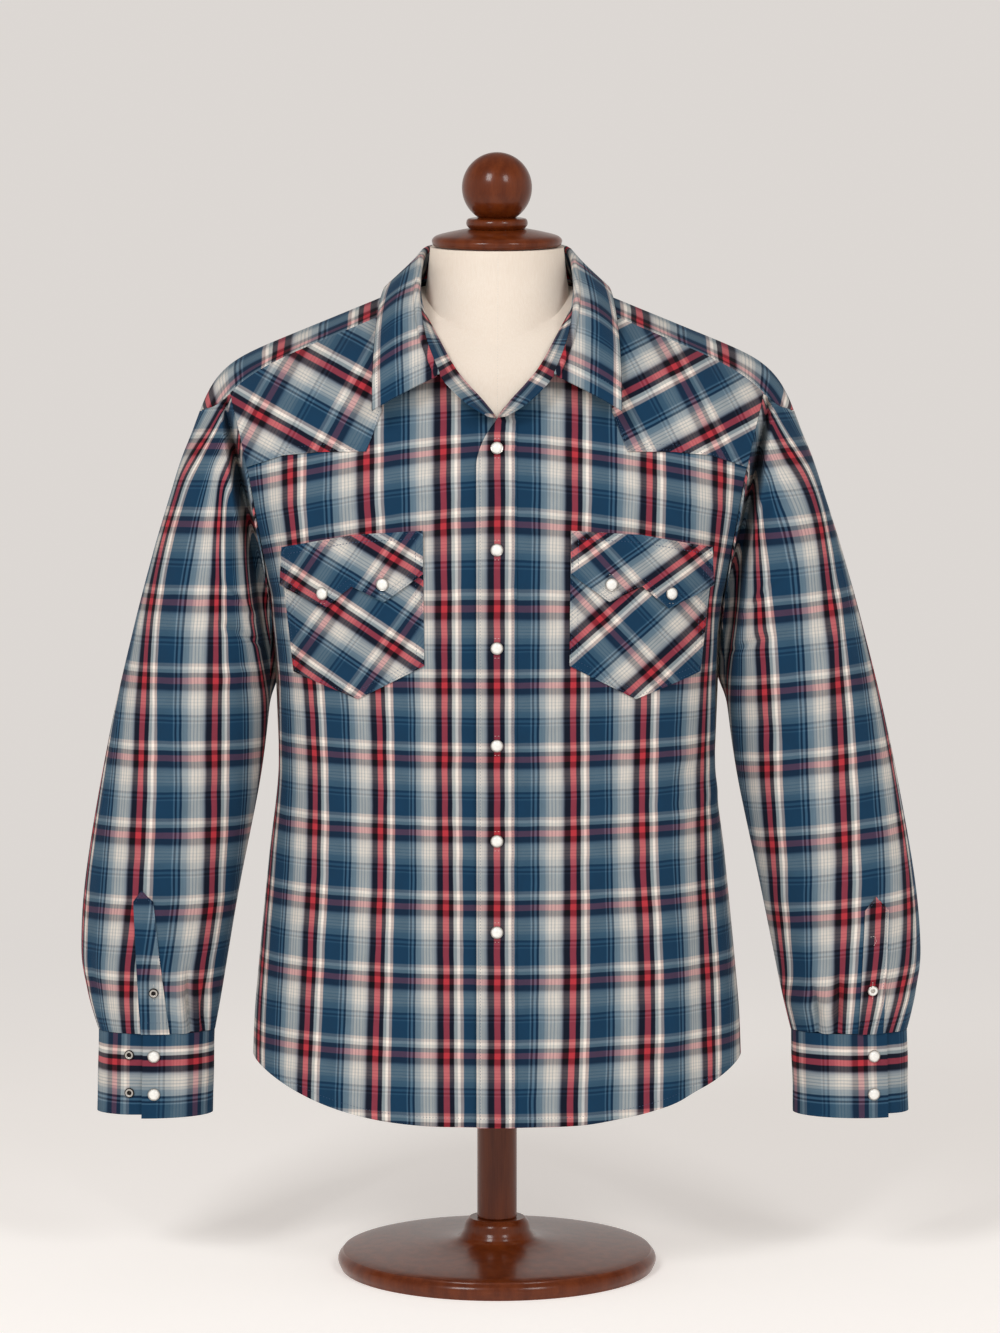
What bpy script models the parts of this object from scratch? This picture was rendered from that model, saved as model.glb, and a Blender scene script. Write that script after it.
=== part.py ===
"""Western snap shirt, worn by a limbless dress form that stands on a turned base.

Metres, +Z up, the wearer faces -Y, so the wearer's left is +X. The origin is the centre of the
base's underside. Every cloth piece is a thin wall on one of three lofts: the front, the back
(which runs over the shoulders to the forward shoulder seam) and the sleeve.
"""

import math

import bmesh
import bpy
import numpy as np
from mathutils import Vector

# Cloth, in metres.
CLOTH = 0.0016  # one wall of shirting, with its turnings
SEAM_INSET = 0.00018  # how far each panel stops short of its seam line
SEAM_GAP = 0.0003  # where a sleeve leaves its armhole
LAY_GAP = 0.0003  # between a panel and what is sewn onto it
LIFT = CLOTH + LAY_GAP  # from one layer's middle to the next one's
EDGE_INSET = 0.0008  # how far a piece on top stops short of the panel's seam
UNDERLAP = LIFT + 0.0004  # how far the right front is pressed in under the left one
CENTRE_REACH = 0.0185  # how far each front runs past the centre line

# The fronts and the back are lofts. A section runs from the centre line or the neck (in) to the
# side seam or the armhole (out). "turn" is how far it has turned to the side there, in degrees,
# and "square" is its superellipse power. Its height falls by the share "even" in a straight line
# and by the rest as the power "droop".
SECTION_COLUMNS = (
    "up", "x_in", "y_in", "z_in", "x_out", "y_out", "z_out", "turn", "square", "even", "droop",
)
ARMPIT = 0.50  # the value of "up" at the armpit
FRONT_NECK = 0.82  # where the front neckline leaves the centre line
BACK_NECK = 0.86  # where the back neckline leaves the centre line
FRONT_SECTIONS = (
    (0.00, 0.0000, -0.120, 0.153, 0.2285, 0.000, 0.205, 90, 2.5, 0.00, 3.0),  # shirt tail hem
    (0.10, 0.0000, -0.119, 0.206, 0.2270, 0.000, 0.240, 90, 2.5, 0.00, 3.0),
    (0.20, 0.0000, -0.117, 0.275, 0.2225, 0.000, 0.292, 90, 2.5, 0.00, 2.5),
    (0.32, 0.0000, -0.115, 0.390, 0.2125, 0.000, 0.392, 90, 2.5, 0.00, 2.0),
    (0.40, 0.0000, -0.117, 0.480, 0.2035, 0.000, 0.480, 90, 2.5, 0.00, 2.0),  # waist
    (0.45, 0.0000, -0.121, 0.545, 0.2035, 0.000, 0.545, 90, 2.6, 0.00, 2.0),
    (0.50, 0.0000, -0.125, 0.613, 0.2085, 0.000, 0.612, 90, 2.7, 0.00, 2.0),  # armpit
    (0.60, 0.0000, -0.127, 0.673, 0.2120, -0.034, 0.652, 78, 2.7, 0.00, 1.8),
    (0.70, 0.0000, -0.125, 0.733, 0.2195, -0.057, 0.702, 62, 2.6, 0.00, 1.6),
    (0.78, 0.0000, -0.118, 0.776, 0.2265, -0.064, 0.743, 52, 2.4, 0.00, 1.5),
    (0.82, 0.0012, -0.113, 0.797, 0.2310, -0.063, 0.764, 46, 2.3, 0.00, 1.6),  # foot of the neck
    (0.86, 0.0220, -0.108, 0.822, 0.2350, -0.059, 0.782, 42, 2.2, 0.25, 2.0),
    (0.90, 0.0385, -0.101, 0.843, 0.2390, -0.053, 0.797, 38, 2.1, 0.50, 2.5),
    (0.95, 0.0575, -0.076, 0.877, 0.2425, -0.043, 0.809, 32, 2.0, 0.75, 5.0),
    (1.00, 0.0740, -0.036, 0.904, 0.2455, -0.032, 0.820, 25, 2.0, 0.85, 8.0),  # forward shoulder seam
)
BACK_SECTIONS = (
    (0.00, 0.0000, 0.116, 0.145, 0.2285, 0.000, 0.205, 90, 2.4, 0.00, 3.0),  # shirt tail hem
    (0.10, 0.0000, 0.114, 0.201, 0.2270, 0.000, 0.240, 90, 2.4, 0.00, 3.0),
    (0.20, 0.0000, 0.110, 0.272, 0.2225, 0.000, 0.292, 90, 2.4, 0.00, 2.5),
    (0.32, 0.0000, 0.104, 0.390, 0.2125, 0.000, 0.392, 90, 2.4, 0.00, 2.0),
    (0.40, 0.0000, 0.101, 0.480, 0.2035, 0.000, 0.480, 90, 2.4, 0.00, 2.0),  # waist
    (0.45, 0.0000, 0.103, 0.545, 0.2035, 0.000, 0.545, 90, 2.4, 0.00, 2.0),
    (0.50, 0.0000, 0.107, 0.613, 0.2085, 0.000, 0.612, 90, 2.5, 0.00, 2.0),  # armpit
    (0.60, 0.0000, 0.113, 0.692, 0.2125, 0.037, 0.660, 76, 2.5, 0.00, 1.8),
    (0.70, 0.0000, 0.113, 0.772, 0.2215, 0.057, 0.712, 62, 2.4, 0.20, 2.0),
    (0.78, 0.0000, 0.102, 0.850, 0.2365, 0.062, 0.752, 50, 2.3, 0.50, 3.0),
    (0.83, 0.0000, 0.084, 0.905, 0.2500, 0.056, 0.776, 40, 2.2, 0.62, 5.0),
    (0.86, 0.0000, 0.070, 0.927, 0.2580, 0.049, 0.787, 34, 2.1, 0.68, 8.0),  # back neck
    (0.90, 0.0430, 0.060, 0.928, 0.2690, 0.034, 0.799, 30, 2.0, 0.70, 11.0),
    (0.94, 0.0670, 0.031, 0.927, 0.2765, 0.012, 0.805, 26, 2.0, 0.70, 14.0),
    (0.97, 0.0740, -0.002, 0.921, 0.2745, -0.010, 0.805, 25, 2.0, 0.74, 14.0),
    (0.985, 0.0745, -0.020, 0.913, 0.2630, -0.023, 0.808, 25, 2.0, 0.78, 12.0),
    (1.00, 0.0740, -0.036, 0.904, 0.2455, -0.032, 0.820, 25, 2.0, 0.85, 8.0),  # forward shoulder seam
)

# The sleeve's rings, from the armhole to the cuff: the overarm point, the underarm point, how far
# forward the middle lies and half the depth. The first ring gives way to the armhole itself.
RING_COLUMNS = ("x_over", "z_over", "x_under", "z_under", "forward", "half_depth")
SLEEVE_RINGS = (
    (0.2777, 0.8045, 0.2085, 0.612, 0.000, 0.062),  # armhole
    (0.2845, 0.785, 0.2112, 0.600, 0.000, 0.064),
    (0.2938, 0.760, 0.2122, 0.588, 0.001, 0.066),
    (0.3033, 0.730, 0.2126, 0.575, 0.001, 0.067),
    (0.3157, 0.690, 0.2130, 0.560, 0.002, 0.068),
    (0.3300, 0.640, 0.2138, 0.540, 0.003, 0.067),
    (0.3500, 0.560, 0.2170, 0.500, 0.004, 0.065),
    (0.3720, 0.460, 0.2295, 0.430, 0.005, 0.062),
    (0.3880, 0.360, 0.2460, 0.350, 0.006, 0.058),
    (0.3920, 0.303, 0.2545, 0.303, 0.007, 0.053),
    (0.3858, 0.257, 0.2627, 0.258, 0.008, 0.045),
    (0.3778, 0.2268, 0.2692, 0.2268, 0.008, 0.0356),  # cuff seam
)
# The deep fold beside the armhole, where an empty sleeve hangs: by the share of the way round
# from the underarm forwards, the ring that it follows, and its depth.
FOLD_COLUMNS = ("round", "ring", "depth")
FRONT_FOLD = (
    (0.04, 1.3, 0.000),
    (0.10, 1.25, 0.006),
    (0.16, 1.10, 0.022),
    (0.22, 1.00, 0.034),
    (0.28, 0.90, 0.032),
    (0.34, 0.85, 0.015),
    (0.41, 0.80, 0.003),
    (0.50, 1.0, 0.000),
)
BACK_FOLD_SHARE = 0.55  # the fold behind is this much as deep
FOLD_WIDTH = 0.55  # in rings
SLEEVE_STEPS = (0, .35, .7, 1.05, 1.45, 1.9, 2.4, 3, 3.7, 4.5, 5.5, 6.6, 7.8, 9, 9.8, 10.4, 11)

# Cuffs.
CUFF_X, CUFF_HALF_WIDTH, CUFF_HALF_DEPTH = 0.3235, 0.0535, 0.0350
CUFF_TOP, CUFF_BOTTOM, CUFF_FORWARD = 0.2268, 0.1490, 0.0080
CUFF_LEAN = 0.0020  # its foot stands this much further out
CUFF_OVERLAP = 0.022
SLEEVE_CLEAR = 0.0024  # from the middle of the body's cloth to the middle of the sleeve's
CUFF_GAP = 0.0006  # under the sleeve's gathered edge
LAP_START = {"right": 0.278, "left": 0.384}  # where each cuff's upper end lies, in turns
SWING = {"right": -0.0042, "left": 0.0068}  # how much further out each cuff hangs

# Collar: the stand's top edge, from the centre back round to the front end, and the leaf's outer
# edge as a place on the lofts ("over" runs 0 to 1 on the back, then 1 to 2 on the front) and how
# far it stands off them.
STAND_GAP = 0.0010  # over the neckline seam
STAND_COLUMNS = ("along", "x_top", "y_top", "z_top")
STAND_TOP = (
    (0.00, 0.0000, 0.0680, 0.9580),
    (0.10, 0.0270, 0.0625, 0.9575),
    (0.20, 0.0500, 0.0480, 0.9565),
    (0.30, 0.0620, 0.0290, 0.9535),
    (0.38, 0.0670, 0.0080, 0.9480),
    (0.50, 0.0700, -0.0330, 0.9290),
    (0.60, 0.0700, -0.0760, 0.9020),
    (0.70, 0.0640, -0.1060, 0.8700),
    (0.80, 0.0520, -0.1240, 0.8380),
    (0.87, 0.0400, -0.1290, 0.8225),
    (0.935, 0.0250, -0.1300, 0.8090),
    (1.00, 0.0080, -0.1290, 0.7990),
)
LEAF_COLUMNS = ("along", "x_edge", "y_edge", "z_edge", "roll", "bulge")
LEAF_LINE = (
    (0.00, 0.0000, 0.1010, 0.910, 0.0032, 0.002),
    (0.20, 0.0540, 0.0980, 0.908, 0.0032, 0.001),
    (0.38, 0.0920, 0.0740, 0.913, 0.0028, 0.0),
    (0.45, 0.0985, 0.0430, 0.9225, 0.0027, 0.0),
    (0.52, 0.1030, 0.0060, 0.9210, 0.0026, 0.0),
    (0.66, 0.1080, -0.0420, 0.8990, 0.0026, 0.003),
    (0.80, 0.1110, -0.0860, 0.8620, 0.0026, 0.005),
    (0.92, 0.1120, -0.1150, 0.8290, 0.0026, 0.004),
    (1.00, 0.1120, -0.1300, 0.8035, 0.0024, 0.002),
)
LEAF_CLEAR = 0.0066  # from the middle of the body's cloth, over the yokes

# What lies on the fronts, as seen from the front: corners (x, z) on the wearer's left.
BAND_EDGE = 0.0180  # the snap band's inner edge
YOKE_CORNERS = (
    (0.104, 0.803), (0.118, 0.7670), (0.160, 0.7665), (0.194, 0.7635), (0.240, 0.7490),
    (0.300, 0.790), (0.300, 0.950), (0.100, 0.950),
)
POCKET_CORNERS = (
    (0.0665, 0.6960), (0.1300, 0.6920), (0.1960, 0.6800), (0.1945, 0.6450), (0.1860, 0.5660),
    (0.1258, 0.5430), (0.0655, 0.5740),
)
FLAP_CORNERS = (
    (0.0665, 0.6960), (0.1300, 0.6920), (0.1960, 0.6800), (0.1985, 0.6450), (0.1555, 0.6250),
    (0.1312, 0.6455), (0.1015, 0.6315), (0.0665, 0.6570),
)
POCKET_SNAPS = ((0.1030, 0.6475), (0.1580, 0.6385))
FRONT_SNAP_HEIGHTS = (0.7700, 0.6786, 0.5900, 0.5015, 0.4146, 0.3315)

# Snaps.
SNAP_RADIUS, SNAP_DOME, SNAP_EDGE = 0.0057, 0.0030, 0.0010
POST_RADIUS, POST_DOME = 0.0045, 0.0022
SNAP_SEAT = 0.0006  # clear of the cloth under it

# Sleeve plackets, as seen from the front: corners (x, z), and each one's snap.
PLACKET_CORNERS = {
    "right": ((0.3350, 0.353), (0.3275, 0.363), (0.3164, 0.353), (0.3016, 0.200), (0.3300, 0.200)),
    "left": ((0.3394, 0.344), (0.3494, 0.357), (0.3617, 0.344), (0.3584, 0.200), (0.3346, 0.200)),
}
PLACKET_SNAPS = {"right": (0.3175, 0.2670), "left": (0.3475, 0.2690)}
CUFF_SNAPS = {"right": 0.3190, "left": 0.3505}  # x of each cuff's two snaps
CUFF_SNAP_HEIGHTS = (0.2055, 0.1700)
POST_X = 0.3420  # the lower halves that show beside the right cuff's lap

# Dress form: how far the body lies under the cloth, and the neck's rings.
INSET_COLUMNS = ("up", "inset", "neckline", "reach")  # neckline: as much again there
FRONT_INSET = (
    (0.32, 0.012, 0.0028, 1.00), (0.50, 0.009, 0.0028, 1.00), (0.70, 0.006, 0.0028, 1.00),
    (0.82, 0.0046, 0.0028, 0.97), (0.90, 0.0034, 0.0028, 0.95), (0.97, 0.0019, 0.0028, 0.93),
    (1.00, 0.0014, 0.0028, 0.93),
)
BACK_INSET = (
    (0.32, 0.012, 0.0028, 1.00), (0.50, 0.009, 0.0028, 1.00), (0.70, 0.0075, 0.0028, 1.00),
    (0.83, 0.0068, 0.0030, 0.93), (0.90, 0.0030, 0.0040, 0.86), (0.97, 0.0012, 0.0034, 0.84),
    (1.00, 0.0012, 0.0028, 0.93),
)  # reach: how far across the form's shoulder goes
FORM_FRONT_ROWS = (.32, .42, .50, .62, .74, .82, .845, .87, .90, .935, .97, 1)
FORM_BACK_ROWS = (.32, .42, .50, .62, .74, .86, .88, .90, .925, .95, .975, 1)
FORM_FOOT_COLUMNS = ("z", "spread")  # below its hips' widest row
FORM_FOOT = ((0.262, 1.015), (0.275, 1.040), (0.320, 1.030))
NECK_COLUMNS = ("z", "middle", "half_width", "half_depth")
NECK_RINGS = (
    (0.780, -0.020, 0.082, 0.084),
    (0.800, -0.020, 0.081, 0.086),
    (0.825, -0.014, 0.080, 0.084),
    (0.850, -0.008, 0.078, 0.078),
    (0.880, -0.004, 0.074, 0.071),
    (0.910, -0.002, 0.068, 0.065),
    (0.935, -0.002, 0.0640, 0.062),
    (0.9562, -0.003, 0.0620, 0.0620),
)
NECK_TILT = math.radians(7)  # the neck's top leans forward
CAP_PROFILE = (  # radius, height
    (0.0, 0.0165), (0.029, 0.0165), (0.042, 0.0140), (0.055, 0.0108), (0.0595, 0.0080),
    (0.0605, 0.0050), (0.0590, 0.0015), (0.0560, 0.0), (0.0, 0.0),
)
RING_PROFILE = ((0.0270, 0.0258), (0.0285, 0.0208), (0.0255, 0.0166), (0.0, 0.0166))
BALL_RADIUS, BALL_HEIGHT = 0.0325, 0.0545
POLE_RADIUS, FORM_BOTTOM = 0.0187, FORM_FOOT[0][0]
BASE_PROFILE = (
    (0.0, 0.046), (0.026, 0.046), (0.030, 0.041), (0.033, 0.032), (0.048, 0.0240),
    (0.134, 0.0180), (0.146, 0.0145), (0.150, 0.0080), (0.147, 0.0), (0.0, 0.0),
)

LINEN = (0.83, 0.76, 0.68, 1.0)
SHIRTING = (0.20, 0.30, 0.42, 1.0)
PEARL = (0.93, 0.92, 0.90, 1.0)
STEEL = (0.55, 0.53, 0.50, 1.0)
WALNUT = (0.06, 0.022, 0.014, 1.0)

# Grid lines of the panels. Neighbours share them at their seams.
BODY_ACROSS = np.array((0, .035, .085, .145, .215, .29, .37, .46, .56, .66, .76, .85, .93, 1))
LOWER_ROWS = (0, .07, .14, .21, .29, .36, .42, .46, .50)
FRONT_ROWS = np.array(LOWER_ROWS + (
    .54, .58, .62, .66, .70, .74, .78, .82, .845, .87, .90, .935, .97, 1))
FORM_ACROSS = BODY_ACROSS[[0, 2, 4, 6, 8, 10, 11, 12, 13]]
BACK_SHARES = (.2, .4, .6, .8, 1)  # between the armpit and the yoke's lower edge
YOKE_SHARES = (0, .25, .5, .75, 1)  # between the yoke's lower edge and the back neck
SHOULDER_ROWS = (.88, .90, .925, .95, .975, 1)


def smooth(knots, values, at):
    """A curve through the values that never swings past them (a monotone cubic)."""
    knots, values = np.asarray(knots, float), np.asarray(values, float)
    step = np.diff(knots)
    slope = np.diff(values) / step
    tangent = np.zeros(len(values))
    tangent[0], tangent[-1] = slope[0], slope[-1]
    before, after = slope[:-1], slope[1:]
    agree = before * after > 0
    wide, narrow = 2 * step[1:] + step[:-1], step[1:] + 2 * step[:-1]
    safe_before, safe_after = np.where(agree, before, 1), np.where(agree, after, 1)
    tangent[1:-1] = np.where(agree, (wide + narrow) / (wide / safe_before + narrow / safe_after), 0)
    at = np.asarray(at, float)
    i = np.clip(np.searchsorted(knots, at, side="right") - 1, 0, len(step) - 1)
    t = (at - knots[i]) / step[i]
    rise = values[i] * (1 + 2 * t) * (1 - t) ** 2 + values[i + 1] * t * t * (3 - 2 * t)
    return rise + step[i] * (tangent[i] * t * (1 - t) ** 2 - tangent[i + 1] * t * t * (1 - t))


def eased(share):
    """0 to 1 with a soft start and a soft end."""
    share = np.clip(share, 0, 1)
    return share * share * (3 - 2 * share)


def read(table, names, at, key=None):
    """The named columns of a table at one place between its rows, keyed by its first column."""
    columns = list(zip(*table))
    keys = columns[0] if key is None else key
    return {name: smooth(keys, column, at) for name, column in zip(names, columns)}


def joined(columns):
    return np.stack(np.broadcast_arrays(*columns), axis=-1)


def unit(vectors):
    return vectors / np.linalg.norm(vectors, axis=-1, keepdims=True)


# ---------------------------------------------------------------- the lofts

def loft(sections, across, up):
    """Points of a front or back loft. across is 0 at the centre and 1 at the side or armhole."""
    c = read(sections, SECTION_COLUMNS, up)
    turn, power = np.radians(c["turn"]), 2 / c["square"]
    angle = np.minimum(np.abs(across), 1) * turn
    reach = (np.sin(angle) / np.sin(turn)) ** power
    depth = (1 - np.clip(np.cos(angle), 0, 1) ** power) / (1 - np.clip(np.cos(turn), 0, 1) ** power)
    fall = c["even"] * reach + (1 - c["even"]) * reach ** c["droop"]
    x = c["x_in"] + np.sign(across) * (c["x_out"] - c["x_in"]) * reach
    return joined((x, c["y_in"] + (c["y_out"] - c["y_in"]) * depth,
                   c["z_in"] + (c["z_out"] - c["z_in"]) * fall))


def across_at(x, up):
    """The value of across where the front is x from the centre line."""
    c = read(FRONT_SECTIONS, SECTION_COLUMNS, up)
    reach = np.abs(x) / c["x_out"]
    turn = np.radians(c["turn"])
    return np.sign(x) * np.arcsin(reach ** (c["square"] / 2) * np.sin(turn)) / turn


def front(across, up, side=1):
    """The wearer's right front (side -1) is pressed in where the left one laps over it."""
    points = loft(FRONT_SECTIONS, across, up)
    if side < 0:
        lapped = eased((0.062 - points[..., 0]) / 0.030) * eased((0.880 - up) / 0.050)
        points[..., 1] += UNDERLAP * lapped
    return points


def back(across, up):
    return loft(BACK_SECTIONS, across, up)


def front_grid(side):
    """The front's grid, from its edge beyond the centre line, or its neckline, to the side."""
    up = FRONT_ROWS[:, None]
    roll = np.clip((up - 0.74) / (FRONT_NECK - 0.74), 0, 1)
    start = across_at(-CENTRE_REACH * (1 - roll**1.7), up)
    across = start + (1 - start) * BODY_ACROSS
    return front(across, np.broadcast_to(up, across.shape), side)


def yoke_line(across):
    """The value of up where the back yoke ends: a point at the centre and a curve to each side."""
    return smooth((0, 0.16, 0.34, 0.62, 1), (0.665, 0.715, 0.742, 0.735, 0.700), across)


def back_grid():
    low = np.repeat(np.array(LOWER_ROWS)[:, None], len(BODY_ACROSS), axis=1)
    high = ARMPIT + (yoke_line(BODY_ACROSS) - ARMPIT) * np.array(BACK_SHARES)[:, None]
    up = np.concatenate([low, high])
    return back(np.broadcast_to(BODY_ACROSS, up.shape), up)


def yoke_grid():
    line = yoke_line(BODY_ACROSS)
    low = line + (BACK_NECK - line) * np.array(YOKE_SHARES)[:, None]
    high = np.repeat(np.array(SHOULDER_ROWS)[:, None], len(BODY_ACROSS), axis=1)
    up = np.concatenate([low, high])
    return back(np.broadcast_to(BODY_ACROSS, up.shape), up)


def grid_normals(points, closed=False):
    """Unit normals of a grid, by differences of its neighbours."""
    if closed:
        ring = np.concatenate([points[:, -2:-1], points, points[:, 1:2]], axis=1)
        along = (ring[:, 2:] - ring[:, :-2])
    else:
        along = np.gradient(points, axis=1)
    return unit(np.cross(along, np.gradient(points, axis=0)))


def lifted(points, lift, closed=False):
    """The grid moved out by lift. All grids run rightwards and upwards as seen from outside."""
    return points + lift * grid_normals(points, closed)


def drawn_in(points, amount, bottom=False, top=False, left=False, right=False):
    """The grid with its chosen edges moved inwards, so that neighbours keep a gap at the seam."""
    points = points.copy()
    rows = slice(None)
    for wanted, edge, inner in ((bottom, (0, rows), (1, rows)), (top, (-1, rows), (-2, rows)),
                                (left, (rows, 0), (rows, 1)), (right, (rows, -1), (rows, -2))):
        if wanted:
            points[edge] = points[edge] + amount * unit(points[inner] - points[edge])
    return points


# ---------------------------------------------------------------- solids

def material(name, colour, roughness, metallic=0.0):
    made = bpy.data.materials.new(name)
    made.use_nodes = True
    shader = made.node_tree.nodes["Principled BSDF"]
    shader.inputs["Base Color"].default_value = colour
    shader.inputs["Roughness"].default_value = roughness
    shader.inputs["Metallic"].default_value = metallic
    made.diffuse_color = colour
    return made


def place(name, grid, finish, collection=None, flat=False):
    """An object from a bmesh, which is used up."""
    mesh = bpy.data.meshes.new(name)
    grid.to_mesh(mesh)
    grid.free()
    if not flat:
        mesh.shade_smooth()
    mesh.materials.append(finish)
    obj = bpy.data.objects.new(name, mesh)
    (collection or PARTS).objects.link(obj)
    return obj


def grid_mesh(points, side=1, closed=False):
    """A bmesh on a grid of points, on the wearer's left (1) or right (-1)."""
    rows, columns = points.shape[:2]
    grid = bmesh.new()
    bmesh.ops.create_grid(grid, x_segments=columns - 1, y_segments=rows - 1, size=0.5)
    for vertex in grid.verts:
        i = round((vertex.co.y + 0.5) * (rows - 1))
        j = round((vertex.co.x + 0.5) * (columns - 1))
        x, y, z = points[i, j]
        vertex.co = (x * side, y, z)
    if closed:
        bmesh.ops.remove_doubles(grid, verts=grid.verts, dist=1e-5)
    if side < 0:
        bmesh.ops.reverse_faces(grid, faces=grid.faces)
    return grid


def wall(name, grid, mirrored=False, flat=False):
    """A cloth wall on a bmesh of its middle. mirrored adds the other half at the centre plane."""
    obj = place(name, grid, SHIRT, flat=flat)
    if mirrored:
        mirror = obj.modifiers.new("other half", "MIRROR")
        mirror.merge_threshold = 0.0001
    solid = obj.modifiers.new("wall", "SOLIDIFY")
    solid.thickness, solid.offset, solid.use_even_offset = CLOTH, 0, True
    return obj


def triangulated(grid):
    """One diagonal for each cell, so that a layer on top bends where the layer below does."""
    bmesh.ops.triangulate(grid, faces=grid.faces, quad_method="FIXED")
    return grid


def inside(corners, x, z):
    hit = False
    for (x0, z0), (x1, z1) in zip(corners, corners[1:] + corners[:1]):
        if (z0 > z) != (z1 > z) and x < x0 + (z - z0) * (x1 - x0) / (z1 - z0):
            hit = not hit
    return hit


def cropped(grid, corners, side):
    """Cuts a mesh down to what lies inside the corners, as seen from the front."""
    corners = tuple((side * x, z) for x, z in corners)
    low_x, low_z = (min(values) - 0.001 for values in zip(*corners))
    top_x, top_z = (max(values) + 0.001 for values in zip(*corners))
    far = [face for face in grid.faces if all(v.co.x < low_x for v in face.verts)
           or all(v.co.x > top_x for v in face.verts) or all(v.co.z < low_z for v in face.verts)
           or all(v.co.z > top_z for v in face.verts)]
    bmesh.ops.delete(grid, geom=far, context="FACES")
    for (x0, z0), (x1, z1) in zip(corners, corners[1:] + corners[:1]):
        everything = grid.verts[:] + grid.edges[:] + grid.faces[:]
        bmesh.ops.bisect_plane(grid, geom=everything, dist=1e-5, plane_co=(x0, 0, z0),
                               plane_no=(z1 - z0, 0, x0 - x1))
    outside = []
    for face in grid.faces:
        middle = face.calc_center_median()
        if not inside(corners, middle.x, middle.z):
            outside.append(face)
    bmesh.ops.delete(grid, geom=outside, context="FACES")
    bmesh.ops.remove_doubles(grid, verts=grid.verts, dist=0.0004)
    bmesh.ops.dissolve_degenerate(grid, edges=grid.edges, dist=0.0001)
    bmesh.ops.dissolve_limit(grid, angle_limit=0.0004, verts=grid.verts, edges=grid.edges)
    return grid


def overlay(name, points, corners, side=1, closed=False):
    """A piece sewn onto a panel: the panel's own cells, already lifted, cut to the corners."""
    grid = triangulated(grid_mesh(points, side, closed))
    return wall(name, cropped(grid, corners, side), flat=True)


def turned(name, profile, finish, spot=(0, 0, 0), axis=(0, 0, 1), steps=24):
    """A lathe-turned solid. The profile (radius, height) runs from the top down the outside."""
    mesh = bpy.data.meshes.new(name)
    points = [(radius, 0, height) for radius, height in profile]
    mesh.from_pydata(points, [(i, i + 1) for i in range(len(points) - 1)], [])
    mesh.materials.append(finish)
    obj = bpy.data.objects.new(name, mesh)
    PARTS.objects.link(obj)
    obj.location = spot
    obj.rotation_euler = Vector(axis).to_track_quat("Z", "Y").to_euler()
    screw = obj.modifiers.new("turned", "SCREW")
    screw.axis, screw.steps, screw.render_steps = "Z", steps, steps
    screw.use_merge_vertices, screw.merge_threshold = True, 0.0001
    screw.use_smooth_shade = True
    return obj


# ---------------------------------------------------------------- collar

def neck_seam(side):
    """The seam that the stand is sewn to, from the centre back to the centre front: points,
    outward normals, the panels' way out through them, and the share of the way."""
    behind = np.array((BACK_NECK,) + SHOULDER_ROWS)
    before = FRONT_ROWS[(FRONT_ROWS >= FRONT_NECK) & (FRONT_ROWS < 1)][::-1]
    step = 0.01
    points = np.concatenate([back(0 * behind, behind), front(0 * before, before, side)])
    inner = np.concatenate([back(0 * behind + step, behind - step),
                            front(0 * before + step, before - step, side)])
    run = unit(np.gradient(points, axis=0))
    panel_way = points - inner
    panel_way = unit(panel_way - np.sum(panel_way * run, axis=1)[:, None] * run)
    out = np.cross(panel_way, run)
    step = np.linalg.norm(np.diff(points, axis=0), axis=1)
    return points, out, panel_way, np.concatenate([[0], np.cumsum(step)]) / step.sum()


def set_off(seam, way, out, panel_way, gap=SEAM_GAP):
    """Where a wall that leaves a seam along way has to start, to clear the panel's own wall."""
    run = np.cross(out, panel_way)
    way = unit(way - np.sum(way * run, axis=1)[:, None] * run)
    straight = np.sum(way * panel_way, axis=1)[:, None]
    sine = np.sqrt(np.clip(1 - straight**2, 0, 1))
    ahead = (CLOTH / 2 * sine + gap) * way
    folded = (CLOTH / 2 * (1 - np.minimum(straight, 0)) + gap) * out
    return seam + np.where(straight > 0, ahead, folded)


def stand_side(side):
    """One half of the stand: its top and bottom lines and its way up."""
    low, out, panel_way, along = neck_seam(side)
    c = read(STAND_TOP, STAND_COLUMNS, along)
    top = joined((c["x_top"], c["y_top"], c["z_top"]))
    if side > 0:  # over the snap band
        low = low + LIFT * eased((BAND_EDGE + 0.012 - low[:, :1]) / 0.010) * (low[:, 1:2] < 0) * out
    low = set_off(low, top - low, out, panel_way, STAND_GAP)
    low[0, 0] = 0
    return low, top, unit(top - low), along


def both_sides(left, right):
    """A grid that runs from the right front round the back to the left front."""
    other = right[:, 1:] * np.array((-1, 1, 1))
    return np.concatenate([other[:, ::-1], left], axis=1)


def collar_stand():
    halves = []
    for side in (1, -1):
        low, top, way, along = stand_side(side)
        share = np.linspace(0, 1, 4)[:, None, None]
        halves.append(low + (top - low) * share)
    grid = grid_mesh(both_sides(*halves))
    bmesh.ops.reverse_faces(grid, faces=grid.faces)
    return wall("collar_stand", grid)


def stood_off(points, clear):
    """The points, moved out from the body's lofts where they are nearer than clear."""
    across, up = np.meshgrid(np.linspace(0, 1, 90), np.linspace(0.62, 1, 90))
    cloth, out = [], []
    for surface in (front, back):
        cloth.append(surface(across, up))
        out.append(grid_normals(cloth[-1]))
    out[1] = -out[1]
    out = [n * np.sign(np.sum(n * (c - np.array((0, 0, 0.7))), axis=-1, keepdims=True))
           for n, c in zip(out, cloth)]
    cloth, out = (np.concatenate([a.reshape(-1, 3) for a in group]) for group in (cloth, out))
    flat = points.reshape(-1, 3)
    nearest = np.linalg.norm(flat[:, None] - cloth, axis=-1).argmin(axis=1)
    height = np.sum((flat - cloth[nearest]) * out[nearest], axis=1)
    moved = flat + np.maximum(clear - height, 0)[:, None] * out[nearest]
    return moved.reshape(points.shape)


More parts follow.
